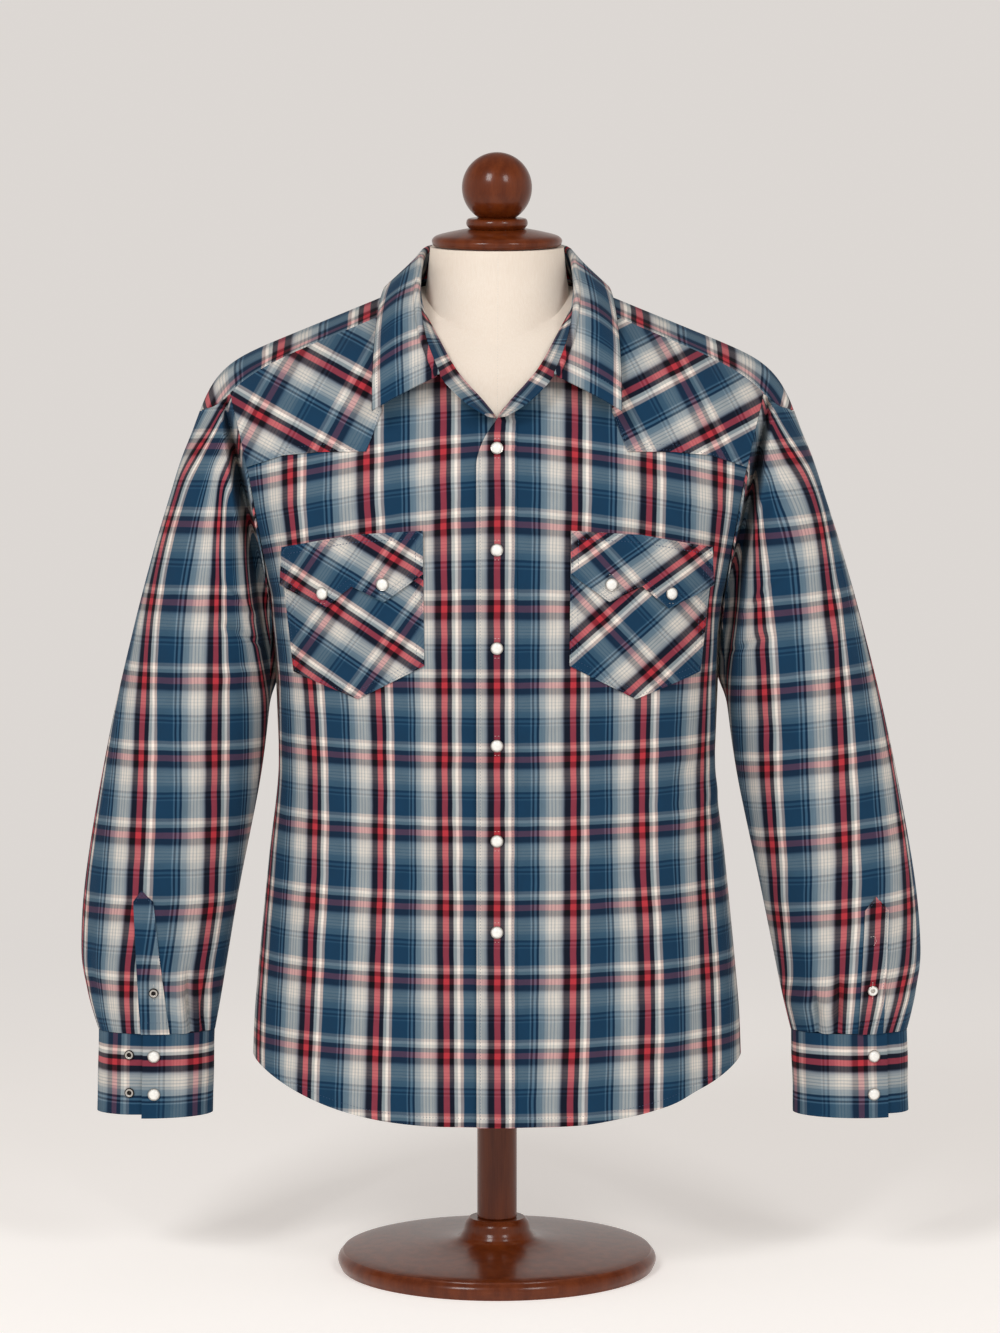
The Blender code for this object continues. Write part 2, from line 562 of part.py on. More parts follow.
def leaf_half():
    """The leaf rolls over the stand's top edge and falls to its outer edge."""
    low, top, way, along = stand_side(1)
    start, at = top[:-3], along[:-3]
    columns = at / at[-1]
    run = unit(np.gradient(top, axis=0))
    way = unit(way - np.sum(way * run, axis=1)[:, None] * run)[:-3]
    out = unit(np.cross(way, run[:-3]))
    out[0, 0] = 0
    c = read(LEAF_LINE, LEAF_COLUMNS, columns)
    edge = joined((c["x_edge"], c["y_edge"], c["z_edge"]))
    roll, bulge = c["roll"][:, None], c["bulge"][:, None]
    rows = []
    for angle in np.radians((0, 40, 80, 120, 160)):
        rise = 2 * LAY_GAP + 1.2 * roll * math.sin(angle)
        rows.append(start + rise * way + roll * (1 - math.cos(angle)) * out)
    over = rows[-1]
    face = unit(np.cross(over - edge, np.gradient(over, axis=0)))
    for share in (0.2, 0.45, 0.72, 1.0):
        rows.append(over + (edge - over) * share + 4 * share * (1 - share) * bulge * face)
    points = np.array(rows)
    points[5:] = stood_off(points[5:], LEAF_CLEAR)
    points[:, 0, 0] = 0
    return points


def collar_leaf():
    grid = grid_mesh(leaf_half())
    return wall("collar_leaf", grid, mirrored=True)


# ---------------------------------------------------------------- sleeves

def edge_normals(surface, up):
    """The outward normals of a panel along its armhole."""
    ones, step = np.ones(len(up)), 0.01
    across_way = surface(ones, up) - surface(ones - step, up)
    inner = surface(ones - step, np.minimum(up + step, 1)) - surface(ones - step, up - step)
    normal = unit(np.cross(across_way, inner))
    return normal * np.sign(normal[:, 0:1] + 0.3 * normal[:, 2:3])


def armhole():
    """The armhole from the underarm up the front and down the back: points, the panels' way out
    through them, the outward normals and the share of the way round."""
    behind = np.concatenate([
        ARMPIT + (yoke_line(1.0) - ARMPIT) * np.array((0,) + BACK_SHARES),
        yoke_line(1.0) + (BACK_NECK - yoke_line(1.0)) * np.array(YOKE_SHARES[1:]), SHOULDER_ROWS])
    before = FRONT_ROWS[FRONT_ROWS >= ARMPIT]
    points = np.concatenate([front(0 * before + 1, before), back(0 * behind + 1, behind)[-2::-1]])
    out = np.concatenate([edge_normals(front, before), edge_normals(back, behind)[-2::-1]])
    run = np.gradient(points, axis=0)
    run[0] = run[-1] = points[1] - points[-2]
    step = np.linalg.norm(np.diff(points, axis=0), axis=1)
    shares = np.concatenate([[0], np.cumsum(step)]) / step.sum()
    return points, unit(np.cross(run, out)), out, shares


def tube(share, ring, swing=0.0):
    """The sleeve's plain tube. share runs round as the armhole does, and ring down the table."""
    c = read(SLEEVE_RINGS, RING_COLUMNS, ring, key=range(len(SLEEVE_RINGS)))
    cosine, sine = np.cos(math.pi - 2 * math.pi * share), np.sin(2 * math.pi * share)
    x = (c["x_over"] + c["x_under"]) / 2 + (c["x_over"] - c["x_under"]) / 2 * cosine
    x = x + swing * (ring / (len(SLEEVE_RINGS) - 1)) ** 2
    z = (c["z_over"] + c["z_under"]) / 2 + (c["z_over"] - c["z_under"]) / 2 * cosine
    return joined((x, -c["forward"] - c["half_depth"] * sine, z))


def fold_depth(share, ring):
    """How far the cloth is drawn in by the fold beside the armhole."""
    ahead = np.where(share <= 0.5, share, 1 - share)
    c = read(FRONT_FOLD, FOLD_COLUMNS, np.clip(ahead, FRONT_FOLD[0][0], 0.5))
    depth = c["depth"] * np.where(share <= 0.5, 1, -BACK_FOLD_SHARE)
    return depth * np.exp(-(((ring - c["ring"]) / FOLD_WIDTH) ** 2)) * eased(ring / 0.4)


def side_of_body(points):
    """How far out the body's cloth lies at each point's depth and height."""
    across, up = np.meshgrid(np.linspace(0.4, 1, 61), np.linspace(0.28, 0.80, 79))
    cloth = np.concatenate([front(across, up).reshape(-1, 3), back(across, up).reshape(-1, 3)])
    flat = points.reshape(-1, 3)
    off = (flat[:, None, 1] - cloth[:, 1]) ** 2 + (flat[:, None, 2] - cloth[:, 2]) ** 2
    nearest = off.argmin(axis=1)
    x = np.where(off.min(axis=1) < 0.006**2, cloth[nearest, 0], 0)
    return x.reshape(points.shape[:-1])


def sleeve_grid(swing):
    """The sleeve from its cuff (first row) up to the armhole (last row)."""
    hole, panel_way, out, shares = armhole()
    ring = np.array(SLEEVE_STEPS)[:, None]
    share = np.broadcast_to(shares, (len(ring), len(shares)))
    ring = np.broadcast_to(ring, share.shape)
    points = tube(share, ring, swing)
    leave = np.clip(1 - ring / 2.4, 0, 1)[..., None] ** 1.6
    points = points + (hole - tube(shares, 0 * shares)) * leave
    points[..., 1] += fold_depth(share, ring)
    points[1:, :, 0] = np.maximum(points[1:, :, 0], side_of_body(points[1:]) + SLEEVE_CLEAR)
    points[0] = set_off(points[0], points[1] - points[0], out, panel_way)
    points[:, -1] = points[:, 0]
    return points[::-1]


def cuff_turns(lap):
    extra = CUFF_OVERLAP / (math.pi * (CUFF_HALF_WIDTH + CUFF_HALF_DEPTH))
    turns = np.linspace(0, 1 + extra, 27)
    return lap - turns, 1.15 * LIFT * eased((turns - (1 - 0.8 * extra)) / (0.8 * extra))


def cuff_point(share, height, inwards, swing):
    """A point of the cuff; share counts round from the side next to the body, by the front."""
    lean = CUFF_LEAN * (CUFF_TOP - height) / (CUFF_TOP - CUFF_BOTTOM)
    angle = math.pi - 2 * math.pi * share
    x = CUFF_X + swing + lean + (CUFF_HALF_WIDTH - inwards) * np.cos(angle)
    return joined((x, -CUFF_FORWARD - (CUFF_HALF_DEPTH - inwards) * np.sin(angle), height))


def cuff_grid(lap, swing):
    """A band round the wrist. It ends under its own start."""
    share, inwards = cuff_turns(lap)
    heights = np.linspace(CUFF_BOTTOM, CUFF_TOP - CUFF_GAP, 3)[:, None]
    return cuff_point(share, heights, inwards, swing)


# ---------------------------------------------------------------- snaps

def on_grid(points, x, z):
    """The foremost point of a grid at x and z, as seen from the front, and its normal."""
    hits = []
    for a in range(len(points) - 1):
        for b in range(points.shape[1] - 1):
            for corners in (((a, b), (a, b + 1), (a + 1, b + 1)), ((a, b), (a + 1, b + 1), (a + 1, b))):
                p, q, r = (points[c] for c in corners)
                flat = np.array([[q[0] - p[0], r[0] - p[0]], [q[2] - p[2], r[2] - p[2]]])
                if abs(np.linalg.det(flat)) > 1e-12:
                    s, t = np.linalg.solve(flat, (x - p[0], z - p[2]))
                    if min(s, t, 1 - s - t) > -1e-6:
                        hits.append((p + s * (q - p) + t * (r - p), unit(np.cross(q - p, r - p))))
    spot, normal = min(hits, key=lambda hit: hit[0][1])
    return spot, normal * (-1 if normal[1] > 0 else 1)


def snap(name, points, x, z, side, lift, small=False):
    """A domed snap on a layer that lies lift above the grid."""
    spot, normal = on_grid(points, x, z)
    spot = (spot + (lift + CLOTH / 2 + SNAP_SEAT) * normal) * np.array((side, 1, 1))
    normal = normal * np.array((side, 1, 1))
    radius, dome = (POST_RADIUS, POST_DOME) if small else (SNAP_RADIUS, SNAP_DOME)
    profile = ((0, dome), (0.62 * radius, 0.84 * dome), (radius, 0.36 * dome), (0.93 * radius, 0), (0, 0))
    finish = SNAP_METAL if small else SNAP_CAP
    return turned(name, profile, finish, spot, normal, steps=12)


# ---------------------------------------------------------------- dress form

def form_rows(rows, insets, surface):
    """Rows of the form's body: the loft, drawn in under the cloth and stopped at the shoulder."""
    up = np.array(rows)[:, None]
    c = read(insets, INSET_COLUMNS, up)
    columns = FORM_ACROSS
    across = np.minimum(columns, c["reach"])
    step = 1e-3
    up, across = np.broadcast_arrays(up, across)
    spot, inner = surface(across, up), np.maximum(across - step, 0)
    du = surface(inner + step, up) - surface(inner, up)
    dv = surface(across, up) - surface(across, up - step)
    normal = unit(np.cross(du, dv))
    normal *= np.sign(np.sum(normal * (spot - np.array((0, 0, 0.55))), axis=-1, keepdims=True))
    inset = c["inset"] + c["neckline"] * eased(1 - columns / 0.25)
    return spot - inset[..., None] * normal


def closed_up(grid):
    """Fills each open loop with a fan round its middle."""
    bmesh.ops.remove_doubles(grid, verts=grid.verts, dist=1e-5)
    bmesh.ops.dissolve_degenerate(grid, edges=grid.edges, dist=1e-5)
    holes = bmesh.ops.holes_fill(grid, edges=[edge for edge in grid.edges if edge.is_boundary])
    bmesh.ops.poke(grid, faces=holes["faces"])
    bmesh.ops.recalc_face_normals(grid, faces=grid.faces)
    return grid


def form_block():
    """The form's body under the shirt, from its foot over the shoulders and down the back."""
    halves = []
    for rows, insets, surface in ((FORM_FRONT_ROWS, FRONT_INSET, front), (FORM_BACK_ROWS, BACK_INSET, back)):
        halves.append(form_rows(rows, insets, surface))
    ahead, behind = halves
    ahead[-1] = behind[-1] = (ahead[-1] + behind[-1]) / 2
    for i, up in enumerate(FORM_FRONT_ROWS):
        if up <= ARMPIT:
            ahead[i, -1] = behind[i, -1] = (ahead[i, -1] + behind[i, -1]) / 2
    for half in halves:
        half[:, 0, 0] = np.where(half[:, 0, 0] < 0.002, 0, half[:, 0, 0])
    feet = []
    for half in halves:
        foot = np.array([half[0] * (spread, spread, 0) + (0, 0, z) for z, spread in FORM_FOOT])
        feet.append(np.concatenate([foot, half]))
    sheet = np.concatenate([feet[0], feet[1][-2::-1]])
    both = np.concatenate([sheet[:, ::-1] * np.array((-1, 1, 1)), sheet], axis=1)
    return closed_up(grid_mesh(both))


def neck_block():
    rings, turns = NECK_RINGS, np.linspace(0, 2 * math.pi, 33)
    rows = []
    for z, middle, half_width, half_depth in rings:
        tilt = NECK_TILT * eased((z - rings[3][0]) / (rings[-1][0] - rings[3][0]))
        depth = half_depth * np.sin(turns)
        rows.append(joined((half_width * np.cos(turns), middle + depth * math.cos(tilt),
                            z + depth * math.sin(tilt))))
    return closed_up(grid_mesh(np.array(rows)))


def torso_form():
    body = place("torso_form", form_block(), FORM_CLOTH)
    neck = place("neck_cutter", neck_block(), FORM_CLOTH, CUTTERS)
    neck.hide_render = True
    neck.display_type = "WIRE"
    union = body.modifiers.new("neck", "BOOLEAN")
    union.operation, union.solver, union.object = "UNION", "EXACT", neck


def on_neck(height):
    """A place above the neck's top plate, along its lean."""
    z, middle = NECK_RINGS[-1][:2]
    return (0, middle - height * math.sin(NECK_TILT), z + height * math.cos(NECK_TILT))


def ball_profile():
    steps = 9
    turns = [math.pi * k / steps for k in range(steps)]
    points = [(BALL_RADIUS * math.sin(t), BALL_HEIGHT + BALL_RADIUS * math.cos(t)) for t in turns]
    return tuple(p for p in points if p[1] > RING_PROFILE[0][1] + 0.001) + RING_PROFILE


def collection(name):
    made = bpy.data.collections.new(name)
    bpy.context.scene.collection.children.link(made)
    return made


for leftover in list(bpy.data.objects):
    bpy.data.objects.remove(leftover)
PARTS, CUTTERS = collection("western_snap_shirt"), collection("cutters")
SHIRT = material("shirting", SHIRTING, 0.85)
FORM_CLOTH = material("form_linen", LINEN, 0.9)
SNAP_CAP = material("snap_pearl", PEARL, 0.25)
SNAP_METAL = material("snap_metal", STEEL, 0.35, 0.9)
WOOD = material("stained_wood", WALNUT, 0.3)

wall("back", grid_mesh(drawn_in(back_grid(), SEAM_INSET, top=True, right=True), -1), mirrored=True)
wall("back_yoke", grid_mesh(drawn_in(yoke_grid(), SEAM_INSET, True, True, False, True), -1), mirrored=True)
collar_stand()
collar_leaf()
for word, side in (("right", -1), ("left", 1)):
    panel = front_grid(side)
    seamed = drawn_in(panel, SEAM_INSET, top=True, right=True)
    wall(f"front_{word}", triangulated(grid_mesh(seamed, side)))
    first = drawn_in(lifted(panel, LIFT), EDGE_INSET, top=True, right=True)
    second = lifted(panel, 2 * LIFT)
    overlay(f"yoke_{word}", first, YOKE_CORNERS, side)
    overlay(f"pocket_{word}", first, POCKET_CORNERS, side)
    overlay(f"pocket_flap_{word}", second, FLAP_CORNERS, side)
    for number, (x, z) in enumerate(POCKET_SNAPS, 1):
        snap(f"pocket_snap_{word}_{number}", panel, x, z, side, 2 * LIFT)
    if side > 0:
        band = ((-0.1, 0.1), (BAND_EDGE, 0.1), (BAND_EDGE, 0.9), (-0.1, 0.9))
        overlay("front_band", first, band)
        for number, z in enumerate(FRONT_SNAP_HEIGHTS, 1):
            snap(f"front_snap_{number}", panel, 0.0, z, side, LIFT)
    sleeve = sleeve_grid(SWING[word])
    wall(f"sleeve_{word}", grid_mesh(sleeve, side, closed=True))
    ahead = sleeve[:6, : sleeve.shape[1] // 2]
    overlay(f"sleeve_placket_{word}", lifted(ahead, LIFT), PLACKET_CORNERS[word], side)
    snap(f"sleeve_snap_{word}", ahead, *PLACKET_SNAPS[word], side, LIFT, small=True)
    band = cuff_grid(LAP_START[word], SWING[word])
    wall(f"cuff_{word}", grid_mesh(band, side))
    for number, z in enumerate(CUFF_SNAP_HEIGHTS, 1):
        snap(f"cuff_snap_{word}_{number}", band, CUFF_SNAPS[word], z, side, 0)
        if side < 0:
            snap(f"cuff_post_{number}", band, POST_X, z + 0.001, side, 0, small=True)
torso_form()
turned("neck_cap", CAP_PROFILE, WOOD, on_neck(0.0001), on_neck(1) - np.array(on_neck(0)))
turned("finial", ball_profile(), WOOD, on_neck(0.0002), on_neck(1) - np.array(on_neck(0)))
pole_foot, pole_top = BASE_PROFILE[0][1] + 0.0001, FORM_BOTTOM - 0.0001
turned("pole", ((0, pole_top), (POLE_RADIUS, pole_top), (POLE_RADIUS, pole_foot), (0, pole_foot)), WOOD)
turned("base", BASE_PROFILE, WOOD, steps=32)
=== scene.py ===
"""Finishes for a western snap shirt on its dress form, laid out as a Blender add-on.

Metres, +Z up, the wearer faces -Y and the wearer's left is +X. Every cloth piece is a thin shell
on one of three lofts, the front, the back and the sleeve, with listed creases. Its UV map
"cloth" holds the place on the woven cloth, in metres, so one material weaves the check everywhere.
"""

import math
from types import SimpleNamespace

import bmesh
import bpy
import numpy as np
from bpy.props import FloatProperty, FloatVectorProperty, IntProperty, PointerProperty
from mathutils import Matrix, Vector
from mathutils.bvhtree import BVHTree
from mathutils.kdtree import KDTree


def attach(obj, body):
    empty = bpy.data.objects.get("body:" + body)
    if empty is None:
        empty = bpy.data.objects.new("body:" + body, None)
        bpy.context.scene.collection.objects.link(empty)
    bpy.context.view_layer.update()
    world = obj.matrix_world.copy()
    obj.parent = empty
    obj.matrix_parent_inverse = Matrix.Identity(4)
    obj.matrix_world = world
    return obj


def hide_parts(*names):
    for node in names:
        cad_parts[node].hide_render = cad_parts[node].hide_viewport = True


bl_info = {
    "name": "Western Snap Shirt on a Dress Form",
    "version": (1, 0, 0),
    "blender": (4, 5, 0),
    "location": "View3D > Sidebar > Shirt",
    "description": "Sews the shirt's cloth, stitching and snaps, and finishes the form under it",
    "category": "Object",
}

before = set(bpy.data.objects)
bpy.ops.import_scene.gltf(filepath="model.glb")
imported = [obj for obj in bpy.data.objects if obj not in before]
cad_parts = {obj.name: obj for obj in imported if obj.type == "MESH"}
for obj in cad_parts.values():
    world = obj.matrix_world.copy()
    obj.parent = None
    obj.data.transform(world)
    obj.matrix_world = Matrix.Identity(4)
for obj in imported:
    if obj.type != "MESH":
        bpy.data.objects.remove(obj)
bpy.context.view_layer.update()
BODY = "root"
SIDES = (("right", -1), ("left", 1))  # the wearer's, and the sign of x there

# Cloth, in metres.
WALL = 0.0010  # one ply of shirting, with its turnings
LAY = 0.0014  # from a panel's middle to the middle of what is sewn onto it
UNDERLAP = 0.0023  # how far the right front is pressed in under the left one
CENTRE_REACH = 0.0185  # how far each front runs past the centre line
CELL = 0.0040  # side of a cloth cell
# The plain model's wall, and what its seams and layers keep between them.
CLOTH, LAY_GAP, SEAM_GAP = 0.0016, 0.0003, 0.0003
LIFT = CLOTH + LAY_GAP
SEAM_IN = 0.0003  # how far a panel's edge stops short of its seam
LAY_IN = 0.0008  # the same for what is sewn onto a panel
SOFT_ANGLE, TURNED_ANGLE = math.radians(50), math.radians(42)  # sharper edges stay sharp

# Sewing: how far the rows lie from an edge, and what holds a snap.
EDGE_STITCH, SECOND_STITCH, POCKET_STITCH = 0.0018, 0.0066, 0.0070
BAND_STITCH, LEAF_STITCH, CUFF_STITCH = 0.0035, 0.0050, 0.0045
SNAP_TICK, PLACKET_TICK = (0.0088, 0.0030), (0.0066, 0.0015)  # above a snap's middle, half length
# The snaps' profiles, from the bottom up: share of the radius, height.
PEARL_CAP = (
    (.9, 0), (.985, .0002), (1, .0007), (.985, .0012), (.93, .0015), (.87, .0014), (.845, .0011),
    (.83, .0013), (.78, .002), (.68, .0026), (.52, .0031), (.32, .0034), (.12, .0035),
)
SOCKET = (
    (.92, 0), (1, .0004), (1, .0011), (.93, .0016), (.8, .0019), (.62, .002), (.5, .0018),
    (.44, .0013), (.42, .0006), (.3, .0005), (.22, .0009), (.08, .001),
)
SEAT = 0.0001  # what turned pieces and snaps keep from what carries them

# The fronts and the back are lofts. A section runs from the centre line or the neck (in) to the
# side seam or the armhole (out). "turn" is how far it has turned to the side there, in degrees,
# and "square" is its superellipse power. Its height falls by the share "even" in a straight line
# and by the rest as the power "droop".
SECTION_COLUMNS = (
    "up", "x_in", "y_in", "z_in", "x_out", "y_out", "z_out", "turn", "square", "even", "droop",
)
ARMPIT, ARMPIT_HEIGHT = 0.50, 0.613  # the value of "up" at the armpit, and its height there
FRONT_NECK = 0.82  # where the front neckline leaves the centre line
BACK_NECK = 0.86  # where the back neckline leaves the centre line
FRONT_SECTIONS = (
    (0, 0, -.12, .153, .2285, 0, .205, 90, 2.5, 0, 3),  # shirt tail hem
    (.1, 0, -.119, .206, .227, 0, .24, 90, 2.5, 0, 3),
    (.2, 0, -.117, .275, .2225, 0, .292, 90, 2.5, 0, 2.5),
    (.32, 0, -.115, .39, .2125, 0, .392, 90, 2.5, 0, 2),
    (.4, 0, -.117, .48, .2035, 0, .48, 90, 2.5, 0, 2),  # waist
    (.45, 0, -.121, .545, .2035, 0, .545, 90, 2.6, 0, 2),
    (.5, 0, -.125, .613, .2085, 0, .612, 90, 2.7, 0, 2),  # armpit
    (.6, 0, -.127, .673, .212, -.034, .652, 78, 2.7, 0, 1.8),
    (.7, 0, -.125, .733, .2195, -.057, .702, 62, 2.6, 0, 1.6),
    (.78, 0, -.118, .776, .2265, -.064, .743, 52, 2.4, 0, 1.5),
    (.82, .0012, -.113, .797, .231, -.063, .764, 46, 2.3, 0, 1.6),  # foot of the neck
    (.86, .022, -.108, .822, .235, -.059, .782, 42, 2.2, .25, 2),
    (.9, .0385, -.101, .843, .239, -.053, .797, 38, 2.1, .5, 2.5),
    (.95, .0575, -.076, .877, .2425, -.043, .809, 32, 2, .75, 5),
    (1, .074, -.036, .904, .2455, -.032, .82, 25, 2, .85, 8),  # forward shoulder seam
)
BACK_SECTIONS = (
    (0, 0, .116, .145, .2285, 0, .205, 90, 2.4, 0, 3),  # shirt tail hem
    (.1, 0, .114, .201, .227, 0, .24, 90, 2.4, 0, 3),
    (.2, 0, .11, .272, .2225, 0, .292, 90, 2.4, 0, 2.5),
    (.32, 0, .104, .39, .2125, 0, .392, 90, 2.4, 0, 2),
    (.4, 0, .101, .48, .2035, 0, .48, 90, 2.4, 0, 2),  # waist
    (.45, 0, .103, .545, .2035, 0, .545, 90, 2.4, 0, 2),
    (.5, 0, .107, .613, .2085, 0, .612, 90, 2.5, 0, 2),  # armpit
    (.6, 0, .113, .692, .2125, .037, .66, 76, 2.5, 0, 1.8),
    (.7, 0, .113, .772, .2215, .057, .712, 62, 2.4, .2, 2),
    (.78, 0, .102, .85, .2365, .062, .752, 50, 2.3, .5, 3),
    (.83, 0, .084, .905, .25, .056, .776, 40, 2.2, .62, 5),
    (.86, 0, .07, .927, .258, .049, .787, 34, 2.1, .68, 8),  # back neck
    (.9, .043, .06, .928, .269, .034, .799, 30, 2, .7, 11),
    (.94, .067, .031, .927, .2765, .012, .805, 26, 2, .7, 14),
    (.97, .074, -.002, .921, .2745, -.01, .805, 25, 2, .74, 14),
    (.985, .0745, -.02, .913, .263, -.023, .808, 25, 2, .78, 12),
    (1, .074, -.036, .904, .2455, -.032, .82, 25, 2, .85, 8),  # forward shoulder seam
)

# The sleeve's rings, from the armhole to the cuff: the overarm point, the underarm point, how far
# forward the middle lies and half the depth. The first ring gives way to the armhole itself.
RING_COLUMNS = ("x_over", "z_over", "x_under", "z_under", "forward", "half_depth")
SLEEVE_RINGS = (
    (.2777, .8045, .2085, .612, 0, .062),  # armhole
    (.2845, .785, .2112, .6, 0, .064),
    (.2938, .76, .2122, .588, .001, .066),
    (.3033, .73, .2126, .575, .001, .067),
    (.3157, .69, .213, .56, .002, .068),
    (.33, .64, .2138, .54, .003, .067),
    (.35, .56, .217, .5, .004, .065),
    (.372, .46, .2295, .43, .005, .062),
    (.388, .36, .246, .35, .006, .058),
    (.392, .303, .2545, .303, .007, .053),
    (.3858, .257, .2627, .258, .008, .045),
    (.3778, .2268, .2692, .2268, .008, .0356),  # cuff seam
)
# The deep fold beside the armhole: by the share of the way round from the underarm forwards, the
# ring that it follows, and its depth.
FOLD_COLUMNS = ("round", "ring", "depth")
FRONT_FOLD = (
    (.04, 1.3, 0), (.1, 1.25, .006), (.16, 1.1, .022), (.22, 1, .034), (.28, .9, .032), (.34, .85, .015),
    (.41, .8, .003), (.5, 1, 0),
)
BACK_FOLD_SHARE = 0.55  # the fold behind is this much as deep
FOLD_WIDTH = 0.55  # in rings
SLEEVE_STEPS = (0, .35, .7, 1.05, 1.45, 1.9, 2.4, 3, 3.7, 4.5, 5.5, 6.6, 7.8, 9, 9.8, 10.4, 11)
SLEEVE_FINE = (9, 7)  # rows and columns to each one of the coarse sleeve
SLEEVE_CLEAR = 0.0024  # from the middle of the body's cloth to the middle of the sleeve's

# Cuffs.
CUFF_X, CUFF_HALF_WIDTH, CUFF_HALF_DEPTH = 0.3235, 0.0535, 0.0350
CUFF_TOP, CUFF_BOTTOM, CUFF_FORWARD = 0.2268, 0.1490, 0.0080
CUFF_LEAN = 0.0020  # its foot stands this much further out
CUFF_OVERLAP = 0.022
CUFF_GAP = 0.0006  # under the sleeve's gathered edge
CUFF_GRID = (16, 170)
LAP_START = {"right": 0.278, "left": 0.352}  # where each cuff's upper end lies, in turns
SWING = {"right": -0.0042, "left": 0.0068}  # how much further out each cuff hangs

# Collar: the stand's top edge, from the centre back round to the front end, and the leaf's outer
# edge.
STAND_GAP = 0.0010  # over the neckline seam
STAND_COLUMNS = ("along", "x_top", "y_top", "z_top")
STAND_TOP = (
    (0, 0, .068, .958), (.1, .027, .0625, .9575), (.2, .05, .048, .9565), (.3, .062, .029, .9535),
    (.38, .067, .008, .948), (.5, .07, -.033, .929), (.6, .07, -.076, .902), (.7, .064, -.106, .87),
    (.8, .052, -.124, .838), (.87, .04, -.129, .8225), (.935, .025, -.13, .809), (1, .008, -.129, .799),
)
LEAF_COLUMNS = ("along", "x_edge", "y_edge", "z_edge", "roll", "bulge")
LEAF_LINE = (
    (0, 0, .101, .91, .0032, .002), (.2, .054, .098, .908, .0032, .001), (.38, .092, .074, .913, .0028, 0),
    (.45, .0985, .043, .9225, .0027, 0), (.52, .103, .006, .921, .0026, 0),
    (.66, .108, -.042, .899, .0026, .003), (.8, .111, -.086, .862, .0026, .005),
    (.92, .112, -.115, .829, .0026, .004), (1, .112, -.13, .8035, .0024, .002),
)
LEAF_CLEAR = 0.0066  # from the middle of the body's cloth, over the yokes
LEAF_FINE = (5, 7)

# Values of up where the seams are read, before they are made finer.
FRONT_ROWS = np.array((
    0, .07, .14, .21, .29, .36, .42, .46, .50, .54, .58, .62, .66, .70, .74, .78, .82, .845, .87,
    .90, .935, .97, 1))
BACK_SHARES = (.2, .4, .6, .8, 1)  # between the armpit and the yoke's lower edge
YOKE_SHARES = (0, .25, .5, .75, 1)  # between the yoke's lower edge and the back neck
SHOULDER_ROWS = (.88, .90, .925, .95, .975, 1)

# What lies on the fronts, as seen from the front: corners (x, z) on the wearer's left.
BAND_EDGE = 0.0180  # the snap band's inner edge
YOKE_CORNERS = (
    (.104, .803), (.118, .767), (.16, .7665), (.194, .7635), (.24, .749), (.3, .79), (.3, .95), (.1, .95),
)
POCKET_CORNERS = (
    (.0665, .696), (.13, .692), (.196, .68), (.1945, .645), (.186, .566), (.1258, .543), (.0655, .574),
)
FLAP_CORNERS = (
    (.0665, .696), (.13, .692), (.196, .68), (.1985, .645), (.1555, .625), (.1312, .6455), (.1015, .6315),
    (.0665, .657),
)
PLACKET_CORNERS = {
    "right": ((.335, .353), (.3275, .363), (.3164, .353), (.3016, .2), (.33, .2)),
    "left": ((.3394, .344), (.3494, .357), (.3617, .344), (.3584, .2), (.3346, .2)),
}

POCKET_SNAPS = ((0.1030, 0.6475), (0.1580, 0.6385))
FRONT_SNAP_HEIGHTS = (0.7700, 0.6786, 0.5900, 0.5015, 0.4146, 0.3315)
PLACKET_SNAPS = {"right": (0.3175, 0.2670), "left": (0.3475, 0.2690)}
# The tack of pale thread that closes the left sleeve's slit, halfway up its placket.
LEFT_PLACKET_TACK = ((0.3442, 0.3196), (0.3484, 0.3204), (0.3502, 0.3160), (0.3478, 0.3110))
CUFF_SNAPS = {"right": 0.3190, "left": 0.3505}  # x of each cuff's two snaps
CUFF_SNAP_HEIGHTS = (0.2055, 0.1700)
POST_X = 0.3420  # the studs that show beside the right cuff's lap

# Dress form: how far the body lies under the cloth, and the neck's rings.
INSET_COLUMNS = ("up", "inset", "neckline", "reach")
FRONT_INSET = (
    (.32, .012, .0028, 1), (.5, .009, .0028, 1), (.7, .006, .0028, 1), (.82, .0046, .0028, .97),
    (.9, .0034, .0028, .95), (.97, .0019, .0028, .93), (1, .0014, .0028, .93),
)
BACK_INSET = (
    (.32, .012, .0028, 1), (.5, .009, .0028, 1), (.7, .0075, .0028, 1), (.83, .0068, .003, .93),
    (.9, .003, .004, .86), (.97, .0012, .0034, .84), (1, .0012, .0028, .93),
)
FORM_FOOT = ((0.262, 1.015), (0.275, 1.040), (0.320, 1.030))  # height, spread
NECK_RINGS = (  # height, middle, half width, half depth
    (.78, -.02, .082, .084), (.8, -.02, .081, .086), (.825, -.014, .08, .084), (.85, -.008, .078, .078),
    (.88, -.004, .074, .071), (.91, -.002, .068, .065), (.935, -.002, .064, .062),
    (.9562, -.003, .062, .062),
)
NECK_TILT = math.radians(7)  # the neck's top leans forward

FORM_ACROSS = np.concatenate([np.linspace(0, 0.5, 12), np.linspace(0.53, 1, 16)])
CAP_PROFILE = (  # radius, height
    (.056, 0), (.059, .0015), (.0605, .005), (.0595, .008), (.055, .0108), (.042, .014), (.029, .0165),
)
RING_PROFILE = ((0.0255, 0.0166), (0.0285, 0.0208), (0.0270, 0.0258), (0.0200, 0.0262))
BALL_RADIUS, BALL_HEIGHT = 0.0325, 0.0545
POLE_RADIUS = 0.0187
BASE_PROFILE = (
    (.147, 0), (.15, .008), (.146, .0145), (.134, .018), (.048, .024), (.033, .032), (.03, .041),
    (.026, .046),
)

